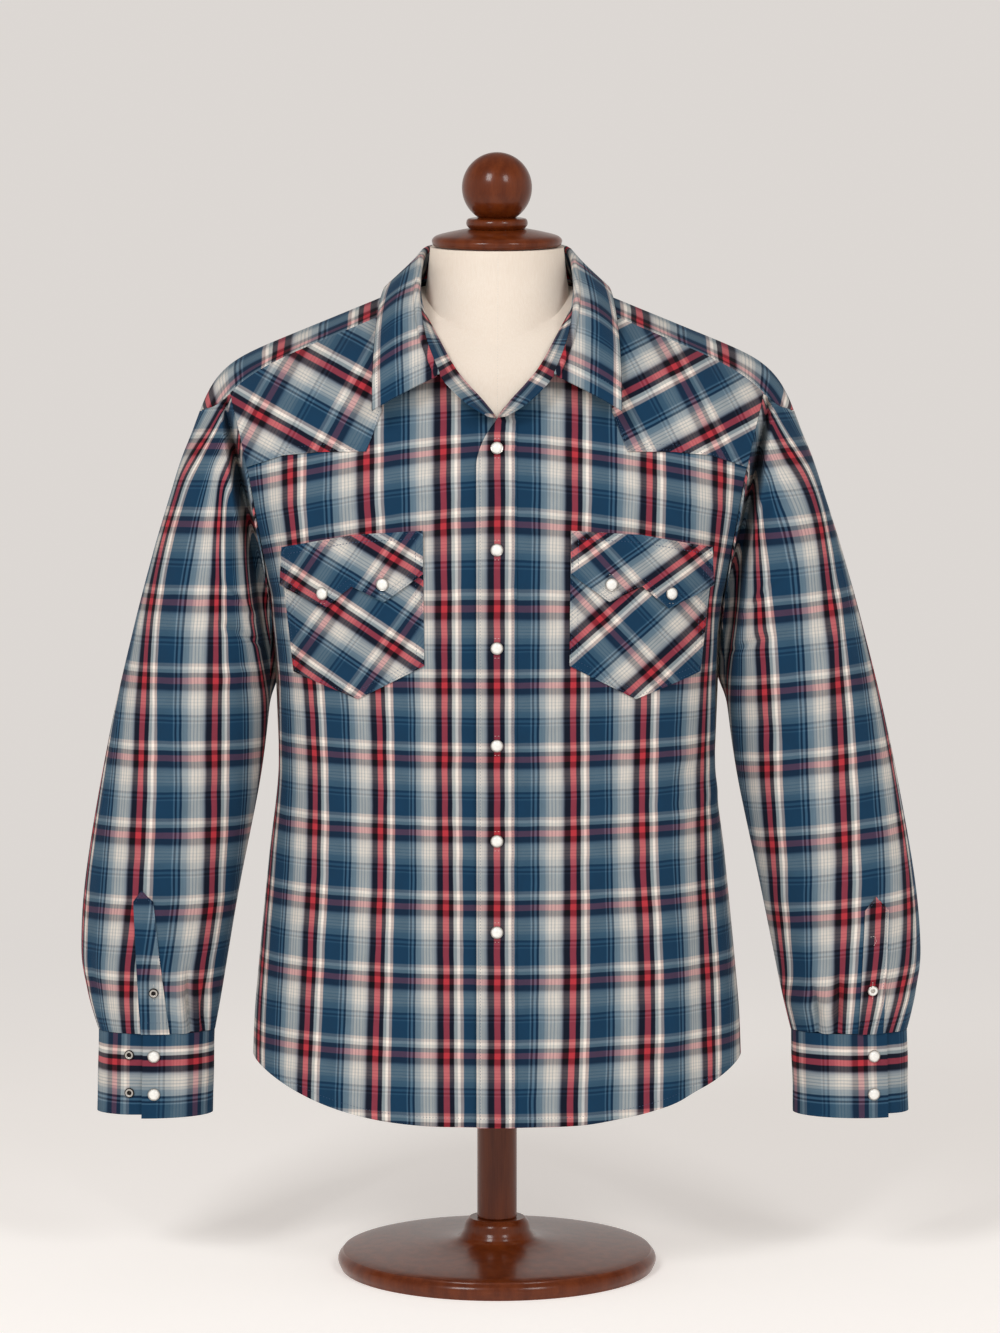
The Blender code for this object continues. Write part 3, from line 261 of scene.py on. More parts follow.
# Stage: the point looked at, the lens, the lamps (name, place, size, power) and the air's light.
MIDDLE = (0.0028, 0.0, 0.566)
LENS = 36 * 3.4 / (0.935 * 1.3333)
LAMPS = (
    ("soft_box_left", (-1.45, -2.7, 2.7), (.9, 1.3), 56),
    ("soft_box_right", (1.6, -2.7, 2.5), (.8, 1.1), 30),
)
AIR = (0.718, 0.682, 0.653)  # the backdrop's colour, and how much of it is left overhead
AIR_ABOVE = 0.42
FLOOR_FADE = (0.5, 2.4)  # from where to where the floor takes on the air's light

# Where the fronts' first three red warp stripes run from the centre line out: height, then each x.
STRIPE_LINES = {
    "right": (
        (.189, .0456, .1115, .176), (.256, .0458, .1096, .1731), (.324, .0462, .1077, .17),
        (.389, .0465, .1058, .1668), (.455, .0472, .1054, .166), (.523, .0473, .1063, .168),
        (.64, .0476, .113, .179), (.731, .0482, .1174, .1873),
    ),
    "left": (
        (.189, .0663, .1364, .196), (.256, .0687, .1375, .1945), (.324, .0692, .1362, .1916),
        (.389, .0693, .1328, .189), (.455, .0693, .1319, .1885), (.523, .0688, .1327, .19),
        (.64, .0694, .135, .196), (.731, .0701, .1376, .2031),
    ),
}

# The same on the front of each sleeve: height, then the inner and the outer red stripe's x.
SLEEVE_LINES = {
    "right": (
        (.281, .2755, .343), (.3475, .265, .334), (.4128, .2613, .3294), (.484, .2604, .3272),
        (.5545, .2589, .3257), (.627, .2567, .3192), (.7, .255, .304), (.744, .2534, .29),
        (.78, .2534, .278),
    ),
    "left": (
        (.2776, .2686, .3188), (.3448, .2604, .3202), (.4119, .2544, .3202), (.4809, .2493, .3165),
        (.5499, .2466, .3137), (.6208, .241, .3069), (.705, .2387, .2968), (.7413, .2387, .285),
        (.7753, .2447, .276),
    ),
}
SLEEVE_LINES_END = 0.735  # above this the stripes run up straight
# Beside the armhole the sleeve turns back into shadow, inwards of a line: x and height of its ends.
TURN_TOP = (0.2475, 0.755)
TURN_LOW = (0.2155, 0.540)
TURN_SHARE = 0.92  # how much of its bulge to the front is taken back there
UNDERARM_BEHIND = 0.011  # how far the sleeve's back comes in under the arm

# Creases, as seen from the front or from behind: from one end to the other (x, z), how far the
# middle bows sideways, the half width and the height. A minus is a trough.
CREASES = {
    "front_left": (
        (.196, .69, .12, .735, .006, .01, -.0016), (.205, .66, .205, .56, .004, .008, -.0022),
        (.06, .56, .08, 0, .006, .018, .0026), (.105, .52, .114, 0, -.005, .015, -.003),
        (.15, .56, .153, 0, .006, .017, .0032), (.185, .52, .187, 0, -.004, .012, -.0028),
        (.21, .5, .15, .455, .004, .009, -.0018), (.212, .47, .165, .42, -.003, .008, .0016),
        (.034, .48, .038, 0, .002, .012, -.0014),
    ),
    "front_right": (
        (.2, .705, .13, .745, -.006, .01, -.0015), (.206, .67, .207, .55, .003, .008, -.0024),
        (.05, .54, .064, 0, .004, .016, -.0024), (.088, .54, .1, 0, -.006, .016, .003),
        (.132, .5, .138, 0, .005, .015, -.0032), (.172, .57, .169, 0, -.005, .016, .0032),
        (.214, .53, .16, .47, -.004, .009, -.002), (.21, .455, .172, .42, .003, .008, .0014),
        (.205, .42, .2, .05, .003, .011, -.0026),
    ),
    "back": (
        (.03, .64, .05, 0, .008, .018, -.0046), (.075, .69, .088, 0, -.006, .019, .0052),
        (.12, .6, .13, 0, .007, .017, -.0048), (.165, .66, .165, 0, -.005, .017, .0044),
        (.2, .52, .198, 0, .003, .012, -.0034), (.21, .62, .14, .68, .006, .01, -.0022),
        (.205, .52, .11, .47, -.006, .01, -.0024), (.19, .46, .08, .44, .005, .009, .0018),
        (-.015, .56, -.022, 0, .006, .017, .0036), (-.06, .7, -.064, 0, -.007, .018, -.005),
        (-.104, .62, -.112, 0, .006, .018, .0048), (-.15, .68, -.146, 0, -.005, .016, -.0044),
        (-.186, .56, -.184, 0, .004, .014, .0034), (-.211, .6, -.15, .665, -.006, .01, -.0022),
        (-.207, .5, -.125, .455, .005, .01, -.0022),
    ),
}
# Creases of the sleeves: from one end to the other (share of the way round, ring), the half width
# and the height, in metres. The last ones are the pleats over the cuff.
SLEEVE_CREASES = {
    "right": (
        (.1, 1.8, .33, 3.6, .008, .003), (.06, 2.6, .3, 4.9, .007, -.0034), (.08, 4.3, .26, 6, .008, .0026),
        (.4, 5.6, .22, 7.2, .009, -.0026), (.12, 6.6, .3, 7.6, .009, -.0024), (.3, 7.6, .2, 10, .01, .0024),
        (.42, 8, .4, 10.4, .009, -.0022), (.6, 3.2, .78, 5.2, .009, -.0034),
        (.88, 2.4, .66, 4.4, .008, .003), (.58, 6, .8, 7.6, .01, -.0032), (.9, 5, .7, 6.6, .009, .0028),
        (.66, 8, .68, 10.6, .009, -.003), (.8, 8.4, .79, 10.8, .008, .0026),
        (.135, 11.3, .155, 9.1, .0032, -.0086), (.165, 11.3, .18, 9.3, .005, .0034),
        (.095, 11.3, .105, 9.4, .0036, -.006),
    ),
    "left": (
        (.11, 1.9, .34, 3.4, .008, .0028), (.05, 2.8, .29, 5.2, .008, -.0032),
        (.42, 4.6, .24, 6.2, .009, .0024), (.1, 5.6, .28, 7, .009, -.0026), (.4, 6.9, .2, 8, .009, -.0024),
        (.14, 8.2, .17, 10.2, .009, .0024), (.25, 8.4, .24, 10.6, .009, -.0024),
        (.62, 2.8, .8, 5, .009, -.0034), (.9, 3, .7, 4.6, .008, .003), (.56, 5.6, .78, 7.4, .01, -.003),
        (.88, 6.2, .72, 7.8, .009, .0026), (.63, 8.2, .64, 10.6, .009, -.0028),
        (.77, 8, .8, 10.8, .009, -.003), (.15, 11.3, .15, 9.4, .0032, -.007),
        (.205, 11.3, .215, 9, .0034, -.0086), (.18, 11.3, .185, 9.2, .005, .0034),
    ),
}

LEAN = {"right": 0.0, "left": 0.10}  # how much each sleeve's weft rises outwards
# How each piece is cut from the check, as seen from the front: how far it is turned (degrees,
# anticlockwise), a place (x, z) where a red warp stripe runs, one where a red weft stripe runs,
# and how many metres of woven cloth one metre of the piece takes each way, 1 where none is given.
# A third number in a place says how many repeats it lies beyond the red stripe.
CUTS = {
    "front_right": (0, (-.0473, .523), (-.03, .4888)),
    "front_left": (0, (.0688, .523), (.03, .4888)),
    "front_band": (0, (0, .56), (0, .4888)),
    "back": (0, (.018, .56), (0, .556)),
    "back_yoke": (0, (.132, .8827), (-.113, .8944), .81, 1),
    "sleeve_placket_right": (0, (-.3209, .287, .555), (-.3209, .287)),
    "sleeve_placket_left": (0, (.349, .29), (.349, .344)),
    "sleeve_right": (0, (-.3272, .484, 1), (-.3272, .4855)),
    "cuff_right": (90, (-.3235, .1992), (-.356, .185)),
    "sleeve_left": (0, (.3165, .4809, 1), (.3165, .482)),
    "cuff_left": (90, (.33, .1992), (.356, .185)),
}
# The bias pieces hang flat, so their stripes are set straight as seen from the front: the turn of
# the warp and a place on a red warp stripe, the same for the weft, and how much closer each runs.
BIAS_CUTS = {
    "yoke_right": (61.3, (-.1476, .8401), 61.3, (-.1972, .8346), 1.028, .959),
    "yoke_left": (-62.5, (.1455, .8355), -62.5, (.1781, .8123), 1.023, 1.035),
    "pocket_right": (56.6, (-.1268, .6121), 54, (-.1533, .6159), 1.105, 1.06),
    "pocket_left": (-49, (.0986, .6215), -46.5, (.0986, .6101), 1.04, 1.06),
    "pocket_flap_right": (59, (-.1795, .6443), 55, (-.1647, .6711), 1.041, 1.15),
    "pocket_flap_left": (-55, (.1569, .6606), -47, (.1019, .6615), 1.12, 1.06),
}


def smooth(knots, values, at):
    """A curve through the values that never swings past them (a monotone cubic)."""
    knots, values = np.asarray(knots, float), np.asarray(values, float)
    step = np.diff(knots)
    slope = np.diff(values) / step
    tangent = np.zeros(len(values))
    tangent[0], tangent[-1] = slope[0], slope[-1]
    before, after = slope[:-1], slope[1:]
    agree = before * after > 0
    wide, narrow = 2 * step[1:] + step[:-1], step[1:] + 2 * step[:-1]
    safe_before, safe_after = np.where(agree, before, 1), np.where(agree, after, 1)
    tangent[1:-1] = np.where(agree, (wide + narrow) / (wide / safe_before + narrow / safe_after), 0)
    at = np.asarray(at, float)
    i = np.clip(np.searchsorted(knots, at, side="right") - 1, 0, len(step) - 1)
    t = (at - knots[i]) / step[i]
    rise = values[i] * (1 + 2 * t) * (1 - t) ** 2 + values[i + 1] * t * t * (3 - 2 * t)
    return rise + step[i] * (tangent[i] * t * (1 - t) ** 2 - tangent[i + 1] * t * t * (1 - t))


def eased(share):
    """0 to 1 with a soft start and a soft end."""
    share = np.clip(share, 0, 1)
    return share * share * (3 - 2 * share)


def read(table, names, at, key=None):
    """The named columns of a table at a place between its rows, keyed by its first column."""
    columns = list(zip(*table))
    keys = columns[0] if key is None else key
    return SimpleNamespace(**{name: smooth(keys, column, at) for name, column in zip(names, columns)})


def joined(columns):
    return np.stack(np.broadcast_arrays(*columns), axis=-1)


def unit(vectors):
    return vectors / np.maximum(np.linalg.norm(vectors, axis=-1, keepdims=True), 1e-12)


def dot(first, second):
    return np.sum(first * second, axis=-1, keepdims=True)


def square_to(way, run):
    """The ways, turned square to the run of a line."""
    return unit(way - dot(way, run) * run)


def facing(normals, way):
    """The normals, turned round where they point against the way."""
    return normals * np.sign(dot(normals, way))


def lengths(points):
    """The distance along a line of points, from 0."""
    steps = np.linalg.norm(np.diff(points, axis=0), axis=-1)
    return np.concatenate([np.zeros((1,) + steps.shape[1:]), np.cumsum(steps, axis=0)])


def row_lengths(points):
    """The distance along each row of a grid, from its first column."""
    return lengths(np.moveaxis(points, 1, 0)).T


def shares_along(points):
    """The share of the way along a line of points, from 0 to 1."""
    step = np.linalg.norm(np.diff(points, axis=0), axis=1)
    return np.concatenate([[0], np.cumsum(step)]) / step.sum()


def spots_at(at, run, points):
    """Points read at places along a line of points, whose own places are in run."""
    return np.stack([np.interp(at, run, column) for column in np.moveaxis(points, -1, 0)], axis=-1)


def finer(points, times, axis=0, closed=False):
    """A grid of points with its rows (or columns) read times as often, on a smooth curve."""
    points = np.moveaxis(points, axis, 0)
    if closed:
        ringed = np.concatenate([points[-2:-1], points, points[1:2]])
    else:
        ringed = np.concatenate([2 * points[:1] - points[1:2], points, 2 * points[-1:] - points[-2:-1]])
    slope = (ringed[2:] - ringed[:-2]) / 2
    rows = []
    for i in range(len(points) - 1):
        for k in range(times):
            t = k / times
            rows.append(points[i] * (1 + 2 * t) * (1 - t) ** 2 + points[i + 1] * t * t * (3 - 2 * t)
                        + slope[i] * t * (1 - t) ** 2 - slope[i + 1] * t * t * (1 - t))
    rows.append(points[-1])
    return np.moveaxis(np.array(rows), 0, axis)


def refined(points, times, closed=False):
    """A grid made finer both ways, by a number of times for its rows and one for its columns."""
    return finer(finer(points, times[0]), times[1], axis=1, closed=closed)


# The lofts of the body.

def loft(sections, across, up):
    """Points of a front or back loft. across is 0 at the centre and 1 at the side or armhole."""
    c = read(sections, SECTION_COLUMNS, up)
    turn, power = np.radians(c.turn), 2 / c.square
    angle = np.minimum(np.abs(across), 1) * turn
    reach = (np.sin(angle) / np.sin(turn)) ** power
    depth = (1 - np.clip(np.cos(angle), 0, 1) ** power) / (1 - np.clip(np.cos(turn), 0, 1) ** power)
    fall = c.even * reach + (1 - c.even) * reach ** c.droop
    x = c.x_in + np.sign(across) * (c.x_out - c.x_in) * reach
    return joined((x, c.y_in + (c.y_out - c.y_in) * depth,
                   c.z_in + (c.z_out - c.z_in) * fall))


def across_at(x, up):
    """The value of across where the front is x from the centre line."""
    c = read(FRONT_SECTIONS, SECTION_COLUMNS, up)
    reach = np.abs(x) / c.x_out
    turn = np.radians(c.turn)
    return np.sign(x) * np.arcsin(reach ** (c.square / 2) * np.sin(turn)) / turn


def front(across, up, side=1):
    """The wearer's right front (side -1) is pressed in where the left one laps over it."""
    points = loft(FRONT_SECTIONS, across, up)
    if side < 0:
        lapped = eased((0.062 - points[..., 0]) / 0.030) * eased((0.880 - up) / 0.050)
        points[..., 1] += UNDERLAP * lapped
    return points


def back(across, up):
    return loft(BACK_SECTIONS, across, up)


def yoke_line(across):
    """The value of up where the back yoke ends: a point at the centre and a curve to each side."""
    return smooth((0, 0.16, 0.34, 0.62, 1), (0.665, 0.715, 0.742, 0.735, 0.700), across)


def grid_normals(points, closed=False):
    """Unit normals of a grid, by differences of its neighbours."""
    if closed:
        ring = np.concatenate([points[:, -2:-1], points, points[:, 1:2]], axis=1)
        along = (ring[:, 2:] - ring[:, :-2])
    else:
        along = np.gradient(points, axis=1)
    return unit(np.cross(along, np.gradient(points, axis=0)))


def lifted(points, lift, closed=False):
    """The grid moved out by lift. All grids run rightwards and upwards as seen from outside."""
    return points + lift * grid_normals(points, closed)


def drawn_in(points, amount, bottom=False, top=False, left=False, right=False):
    """The grid with its chosen edges moved inwards, so that neighbours keep a gap at the seam."""
    points = points.copy()
    rows = slice(None)
    for wanted, edge, inner in ((bottom, (0, rows), (1, rows)), (top, (-1, rows), (-2, rows)),
                                (left, (rows, 0), (rows, 1)), (right, (rows, -1), (rows, -2))):
        if wanted:
            points[edge] = points[edge] + amount * unit(points[inner] - points[edge])
    return points


def inside(corners, x, z):
    hit = False
    for (x0, z0), (x1, z1) in zip(corners, corners[1:] + corners[:1]):
        if (z0 > z) != (z1 > z) and x < x0 + (z - z0) * (x1 - x0) / (z1 - z0):
            hit = not hit
    return hit


# Finer grids on the same lofts.

def rows_of(surface, across, low, high, cell):
    """Values of up from low to high that lie evenly along the loft, a cell apart."""
    fine = np.linspace(low, high, 600)
    run = lengths(surface(0 * fine + across, fine))
    count = max(3, round(run[-1] / cell) + 1)
    return np.interp(np.linspace(0, run[-1], count), run, fine)


def evened(surface, start, end, up, columns):
    """The loft's points with each row's columns spread evenly between two values of across."""
    share = np.linspace(0, 1, 300)
    across, up = np.broadcast_arrays(start + (end - start) * share, up)
    run = row_lengths(surface(across, up))
    spots = np.linspace(0, 1, columns)
    across = np.array([np.interp(spots * r[-1], r, a) for r, a in zip(run, across)])
    up = np.array([np.interp(spots, share, u) for u in up])
    return surface(across, up), across, up


def cloth_height(surface, across_middle):
    """A function that gives the place along the cloth's length for every value of up."""
    fine = np.linspace(0.36, 1, 400)
    run = lengths(surface(0 * fine + across_middle, fine))
    run = run - np.interp(ARMPIT, fine, run) + ARMPIT_HEIGHT

    def height(points, up):
        low = points[..., 2] - 0.05 * np.abs(points[..., 0]) ** 1.5
        share = eased((up - 0.42) / (ARMPIT - 0.42))
        return low * (1 - share) + np.interp(up, fine, run) * share
    return height


def ridge(off, along, width):
    """One soft crease: highest on its line, and fading to both ends."""
    inside_it = np.clip(along, 0, 1)
    return np.exp(-((off / width) ** 2)) * np.sin(math.pi * inside_it) ** 1.3


def creased(points, table, side=1):
    """How far the cloth stands out at each point, from a table of creases."""
    x, z = points[..., 0] * side, points[..., 2]
    out = np.zeros(points.shape[:-1])
    for x0, z0, x1, z1, bow, width, height in table:
        size = math.hypot(x1 - x0, z1 - z0)
        way_x, way_z = (x1 - x0) / size, (z1 - z0) / size
        along = ((x - x0) * way_x + (z - z0) * way_z) / size
        off = (x - x0) * way_z - (z - z0) * way_x
        off = off - bow * np.sin(2 * math.pi * along) - 0.15 * width * np.sin(9 * along + 40 * x0)
        out += height * ridge(off, along, width)
    return out


def from_centre(points, across):
    """How far each point of a grid lies along its row from where that crosses the centre line."""
    run = row_lengths(points)
    crossed = []
    for places, length in zip(across, run):
        way = 1 if places[0] <= places[-1] else -1
        crossed.append(np.interp(0, places[::way], length[::way]))
    return run - np.array(crossed)[:, None]


def sheet_mesh(name, points, cloth, side=1, closed=False):
    """A mesh on a grid of points, with the grid's cloth coordinates as its UV map."""
    rows, columns = points.shape[:2]
    corner = np.arange(rows * columns).reshape(rows, columns)
    quads = np.stack([corner[:-1, :-1], corner[:-1, 1:], corner[1:, 1:], corner[1:, :-1]], axis=-1)
    quads = quads.reshape(-1, 4)
    if side < 0:
        quads = quads[:, ::-1]
    mesh = bpy.data.meshes.new(name)
    mesh.from_pydata((points * (side, 1, 1)).reshape(-1, 3).tolist(), [], quads.tolist())
    layer = mesh.uv_layers.new(name="cloth")
    flat = (cloth * (side, 1)).reshape(-1, 2)[quads.reshape(-1)]
    layer.data.foreach_set("uv", flat.astype(np.float32).ravel())
    grid = bmesh.new()
    grid.from_mesh(mesh)
    bpy.data.meshes.remove(mesh)
    if closed:
        bmesh.ops.remove_doubles(grid, verts=grid.verts, dist=2e-5)
    return grid


def cropped(grid, corners, side=1):
    """Cuts a mesh down to what lies inside the corners, as seen from the front."""
    corners = tuple((side * x, z) for x, z in corners)
    low_x, low_z = (min(values) - 0.001 for values in zip(*corners))
    top_x, top_z = (max(values) + 0.001 for values in zip(*corners))
    far = [face for face in grid.faces if all(v.co.x < low_x for v in face.verts)
           or all(v.co.x > top_x for v in face.verts) or all(v.co.z < low_z for v in face.verts)
           or all(v.co.z > top_z for v in face.verts)]
    bmesh.ops.delete(grid, geom=far, context="FACES")
    for (x0, z0), (x1, z1) in zip(corners, corners[1:] + corners[:1]):
        everything = grid.verts[:] + grid.edges[:] + grid.faces[:]
        bmesh.ops.bisect_plane(grid, geom=everything, dist=1e-5, plane_co=(x0, 0, z0),
                               plane_no=(z1 - z0, 0, x0 - x1))
    outside = []
    for face in grid.faces:
        middle = face.calc_center_median()
        if not inside(corners, middle.x, middle.z):
            outside.append(face)
    bmesh.ops.delete(grid, geom=outside, context="FACES")
    bmesh.ops.remove_doubles(grid, verts=grid.verts, dist=0.0003)
    bmesh.ops.dissolve_degenerate(grid, edges=grid.edges, dist=0.0001)
    return grid


def add_object(name, mesh):
    made = bpy.data.objects.new(name, mesh)
    bpy.context.scene.collection.objects.link(made)
    return made


def cloth_object(name, grid):
    mesh = bpy.data.meshes.new(name)
    grid.to_mesh(mesh)
    grid.free()
    return add_object(name, mesh)


def laid_out(obj):
    """A sheet's cloth coordinates, in metres."""
    layer = obj.data.uv_layers["cloth"].data
    values = np.zeros(len(layer) * 2, dtype=np.float32)
    layer.foreach_get("uv", values)
    return values.reshape(-1, 2)


def seen_at(obj, x, z):
    """The cloth coordinates of the sheet's foremost part near x and z, seen from the front."""
    layer = obj.data.uv_layers["cloth"].data
    found = []
    for polygon in obj.data.polygons:
        middle = polygon.center
        off = math.hypot(middle.x - x, middle.z - z)
        if off < 0.02:
            uv = sum((layer[i].uv for i in polygon.loop_indices), Vector((0, 0)))
            found.append((off, uv / polygon.loop_total, middle))
    foremost = min((entry[2].y for entry in found if entry[0] < 0.008), default=0)
    near = [entry for entry in found if entry[2].y < foremost + 0.02]
    if not near:
        raise RuntimeError(f"{obj.name} has no cloth near {x}, {z}")
    rows = np.array([(1, m.x - x, m.z - z) for off, uv, m in near])
    values = np.array([tuple(uv) for off, uv, m in near])
    weight = np.array([[1 / (off + 0.001) ** 2] for off, uv, m in near])
    rows, values = rows * weight, values * weight
    return np.linalg.lstsq(rows, values, rcond=None)[0][0]


def lay_cloth(obj, u, v):
    """Gives a sheet new cloth coordinates."""
    both = np.stack([u, v], axis=-1).astype(np.float32).ravel()
    obj.data.uv_layers["cloth"].data.foreach_set("uv", both)


def cut_from(obj, turn, warp_at, weft_at, wider=1.0, longer=1.0):
    """Turns a sheet's cloth coordinates to its grain, so that red stripes run through two places."""
    cosine, sine = math.cos(math.radians(turn)), math.sin(math.radians(turn))
    across = np.array((cosine, sine)) * wider
    length = np.array((-sine, cosine)) * longer
    values = laid_out(obj)
    u = values @ across - seen_at(obj, *warp_at[:2]) @ across + sum(warp_at[2:]) * WARP_REPEAT
    v = values @ length - seen_at(obj, *weft_at[:2]) @ length + sum(weft_at[2:]) * WEFT_REPEAT
    lay_cloth(obj, u, v)


def cut_on_bias(obj, warp_turn, warp_at, weft_turn, weft_at, closer, shorter):
    """Sets a flat bias piece's cloth coordinates by their place as seen from the front."""
    corner = np.zeros(len(obj.data.loops), dtype=np.int32)
    obj.data.loops.foreach_get("vertex_index", corner)
    spots = np.array([(v.co.x, v.co.z) for v in obj.data.vertices])[corner]
    warp, weft = math.radians(warp_turn), math.radians(weft_turn)
    u = (spots - warp_at) @ (math.cos(warp), math.sin(warp)) * closer
    v = (spots - weft_at) @ (-math.sin(weft), math.cos(weft)) * shorter
    lay_cloth(obj, u, v)


def reworked(mesh, merge=0):
    """Merges a mesh's doubles or, where no distance is given, turns its faces outwards."""
    grid = bmesh.new()
    grid.from_mesh(mesh)
    if merge:
        bmesh.ops.remove_doubles(grid, verts=grid.verts, dist=merge)
    else:
        bmesh.ops.recalc_face_normals(grid, faces=grid.faces)
    grid.to_mesh(mesh)
    grid.free()


def thickened(obj, thickness, even=True):
    """Gives a sheet its wall, with clean outward faces, and shades it smooth."""
    reworked(obj.data, merge=1e-6)
    wall = obj.modifiers.new("wall", "SOLIDIFY")
    wall.thickness, wall.offset, wall.use_even_offset = thickness, 0, even
    select_only(obj)
    bpy.ops.object.modifier_apply(modifier="wall")
    reworked(obj.data)
    bpy.ops.object.shade_smooth_by_angle(angle=SOFT_ANGLE)


def select_only(obj):
    bpy.ops.object.select_all(action="DESELECT")
    obj.select_set(True)
    bpy.context.view_layer.objects.active = obj


def joined_halves(name, points, cloth):
    """One mesh of a half on the wearer's left and its mirror image, met at the centre."""
    grid, other = sheet_mesh(name, points, cloth), sheet_mesh(name, points, cloth, -1)
    mesh = bpy.data.meshes.new(name)
    other.to_mesh(mesh)
    other.free()
    grid.from_mesh(mesh)
    bpy.data.meshes.remove(mesh)
    bmesh.ops.remove_doubles(grid, verts=grid.verts, dist=5e-5)
    return grid


def sewn(name, grid, thickness, size=None, even=True):
    """Finishes one cut piece of cloth: its grain, its wall and finish.
    Its name is that of the CAD node that it replaces, with a word more."""
    obj = cloth_object(name, grid)
    node = name.rsplit("_", 1)[0]
    values = laid_out(obj)
    low, high = values.min(axis=0), values.max(axis=0)
    size = size or [float(max(s, 0.011)) for s in high - low]
    area = sum(polygon.area for polygon in obj.data.polygons)
    area = float(min(max(area, 0.301 * size[0] * size[1]), size[0] * size[1]))
    if node in BIAS_CUTS:
        cut_on_bias(obj, *BIAS_CUTS[node])
    elif node in CUTS:
        cut_from(obj, *CUTS[node])
    thickened(obj, thickness, even)
    painted(obj, "check")
    return added(obj, "shirting", node)


# Collar.

def neck_seam(side):
    """The seam that the stand is sewn to, from the centre back to the centre front: points,
    outward normals, the panels' way out through them, and the share of the way."""
    behind = np.array((BACK_NECK,) + SHOULDER_ROWS)
    before = FRONT_ROWS[(FRONT_ROWS >= FRONT_NECK) & (FRONT_ROWS < 1)][::-1]
    step = 0.01
    points = np.concatenate([back(0 * behind, behind), front(0 * before, before, side)])
    inner = np.concatenate([back(0 * behind + step, behind - step),
                            front(0 * before + step, before - step, side)])
    run = unit(np.gradient(points, axis=0))
    panel_way = points - inner
    panel_way = square_to(panel_way, run)
    out = np.cross(panel_way, run)
    return points, out, panel_way, shares_along(points)


def set_off(seam, way, out, panel_way, gap=SEAM_GAP):
    """Where a wall that leaves a seam along way has to start, to clear the panel's own wall."""
    way = square_to(way, np.cross(out, panel_way))
    straight = dot(way, panel_way)
    sine = np.sqrt(np.clip(1 - straight**2, 0, 1))
    ahead = (CLOTH / 2 * sine + gap) * way
    folded = (CLOTH / 2 * (1 - np.minimum(straight, 0)) + gap) * out
    return seam + np.where(straight > 0, ahead, folded)


def stand_side(side):
    """One half of the stand: its top and bottom lines and its way up."""
    low, out, panel_way, along = neck_seam(side)
    c = read(STAND_TOP, STAND_COLUMNS, along)
    top = joined((c.x_top, c.y_top, c.z_top))
    if side > 0:  # over the snap band
        low = low + LIFT * eased((BAND_EDGE + 0.012 - low[:, :1]) / 0.010) * (low[:, 1:2] < 0) * out
    low = set_off(low, top - low, out, panel_way, STAND_GAP)
    low[0, 0] = 0
    return low, top, unit(top - low), along


def both_sides(left, right):
    """A grid that runs from the right front round the back to the left front."""
    other = right[:, 1:] * np.array((-1, 1, 1))
    return np.concatenate([other[:, ::-1], left], axis=1)


def stood_off(points, clear):
    """The points, moved out from the body's lofts where they are nearer than clear."""
    across, up = np.meshgrid(np.linspace(0, 1, 90), np.linspace(0.62, 1, 90))
    cloth = [surface(across, up) for surface in (front, back)]
    out = [facing(grid_normals(c), c - np.array((0, 0, 0.7))) for c in cloth]
    cloth, out = (np.concatenate([a.reshape(-1, 3) for a in group]) for group in (cloth, out))
    flat = points.reshape(-1, 3)
    nearest = np.linalg.norm(flat[:, None] - cloth, axis=-1).argmin(axis=1)
    height = np.sum((flat - cloth[nearest]) * out[nearest], axis=1)
    moved = flat + np.maximum(clear - height, 0)[:, None] * out[nearest]
    return moved.reshape(points.shape)


def leaf_half():
    """The leaf rolls over the stand's top edge and falls to its outer edge."""
    _, top, way, along = stand_side(1)
    start, at = top[:-3], along[:-3]
    columns = at / at[-1]
    run = unit(np.gradient(top, axis=0))
    way = square_to(way, run)[:-3]
    out = unit(np.cross(way, run[:-3]))
    out[0, 0] = 0
    c = read(LEAF_LINE, LEAF_COLUMNS, columns)
    edge = joined((c.x_edge, c.y_edge, c.z_edge))
    roll, bulge = c.roll[:, None], c.bulge[:, None]
    rows = []
    for angle in np.radians((0, 40, 80, 120, 160)):
        rise = 2 * LAY_GAP + 1.2 * roll * math.sin(angle)
        rows.append(start + rise * way + roll * (1 - math.cos(angle)) * out)
    over = rows[-1]
    face = unit(np.cross(over - edge, np.gradient(over, axis=0)))
    for share in (0.2, 0.45, 0.72, 1.0):
        rows.append(over + (edge - over) * share + 4 * share * (1 - share) * bulge * face)
    points = np.array(rows)
    points[5:] = stood_off(points[5:], LEAF_CLEAR)
    points[:, 0, 0] = 0
    return points


def collar_stand_sheet():
    halves = []
    for side in (1, -1):
        low, top = stand_side(side)[:2]
        share = np.linspace(0, 1, 9)[:, None, None]
        halves.append(low + (top - low) * share)
    points = finer(both_sides(*halves), 5, axis=1)
    run = row_lengths(points[-1:])
    return points, joined((run - run[0, -1] / 2, lengths(points)))


def collar_leaf_sheet():
    """The leaf's grid and its cloth coordinates: from its outer edge in, and along its length."""
    half = refined(leaf_half(), LEAF_FINE)
    points = both_sides(half, half)
    inwards = lengths(points[::-1])[::-1]
    run = row_lengths(points[-1:])[0]
    return points, joined((inwards, np.broadcast_to(run - run[-1] / 2, inwards.shape)))


# Sleeves.

def edge_normals(surface, up):
    """The outward normals of a panel along its armhole."""
    ones, step = np.ones(len(up)), 0.01
    across_way = surface(ones, up) - surface(ones - step, up)
    inner = surface(ones - step, np.minimum(up + step, 1)) - surface(ones - step, up - step)
    normal = unit(np.cross(across_way, inner))
    return normal * np.sign(normal[:, 0:1] + 0.3 * normal[:, 2:3])


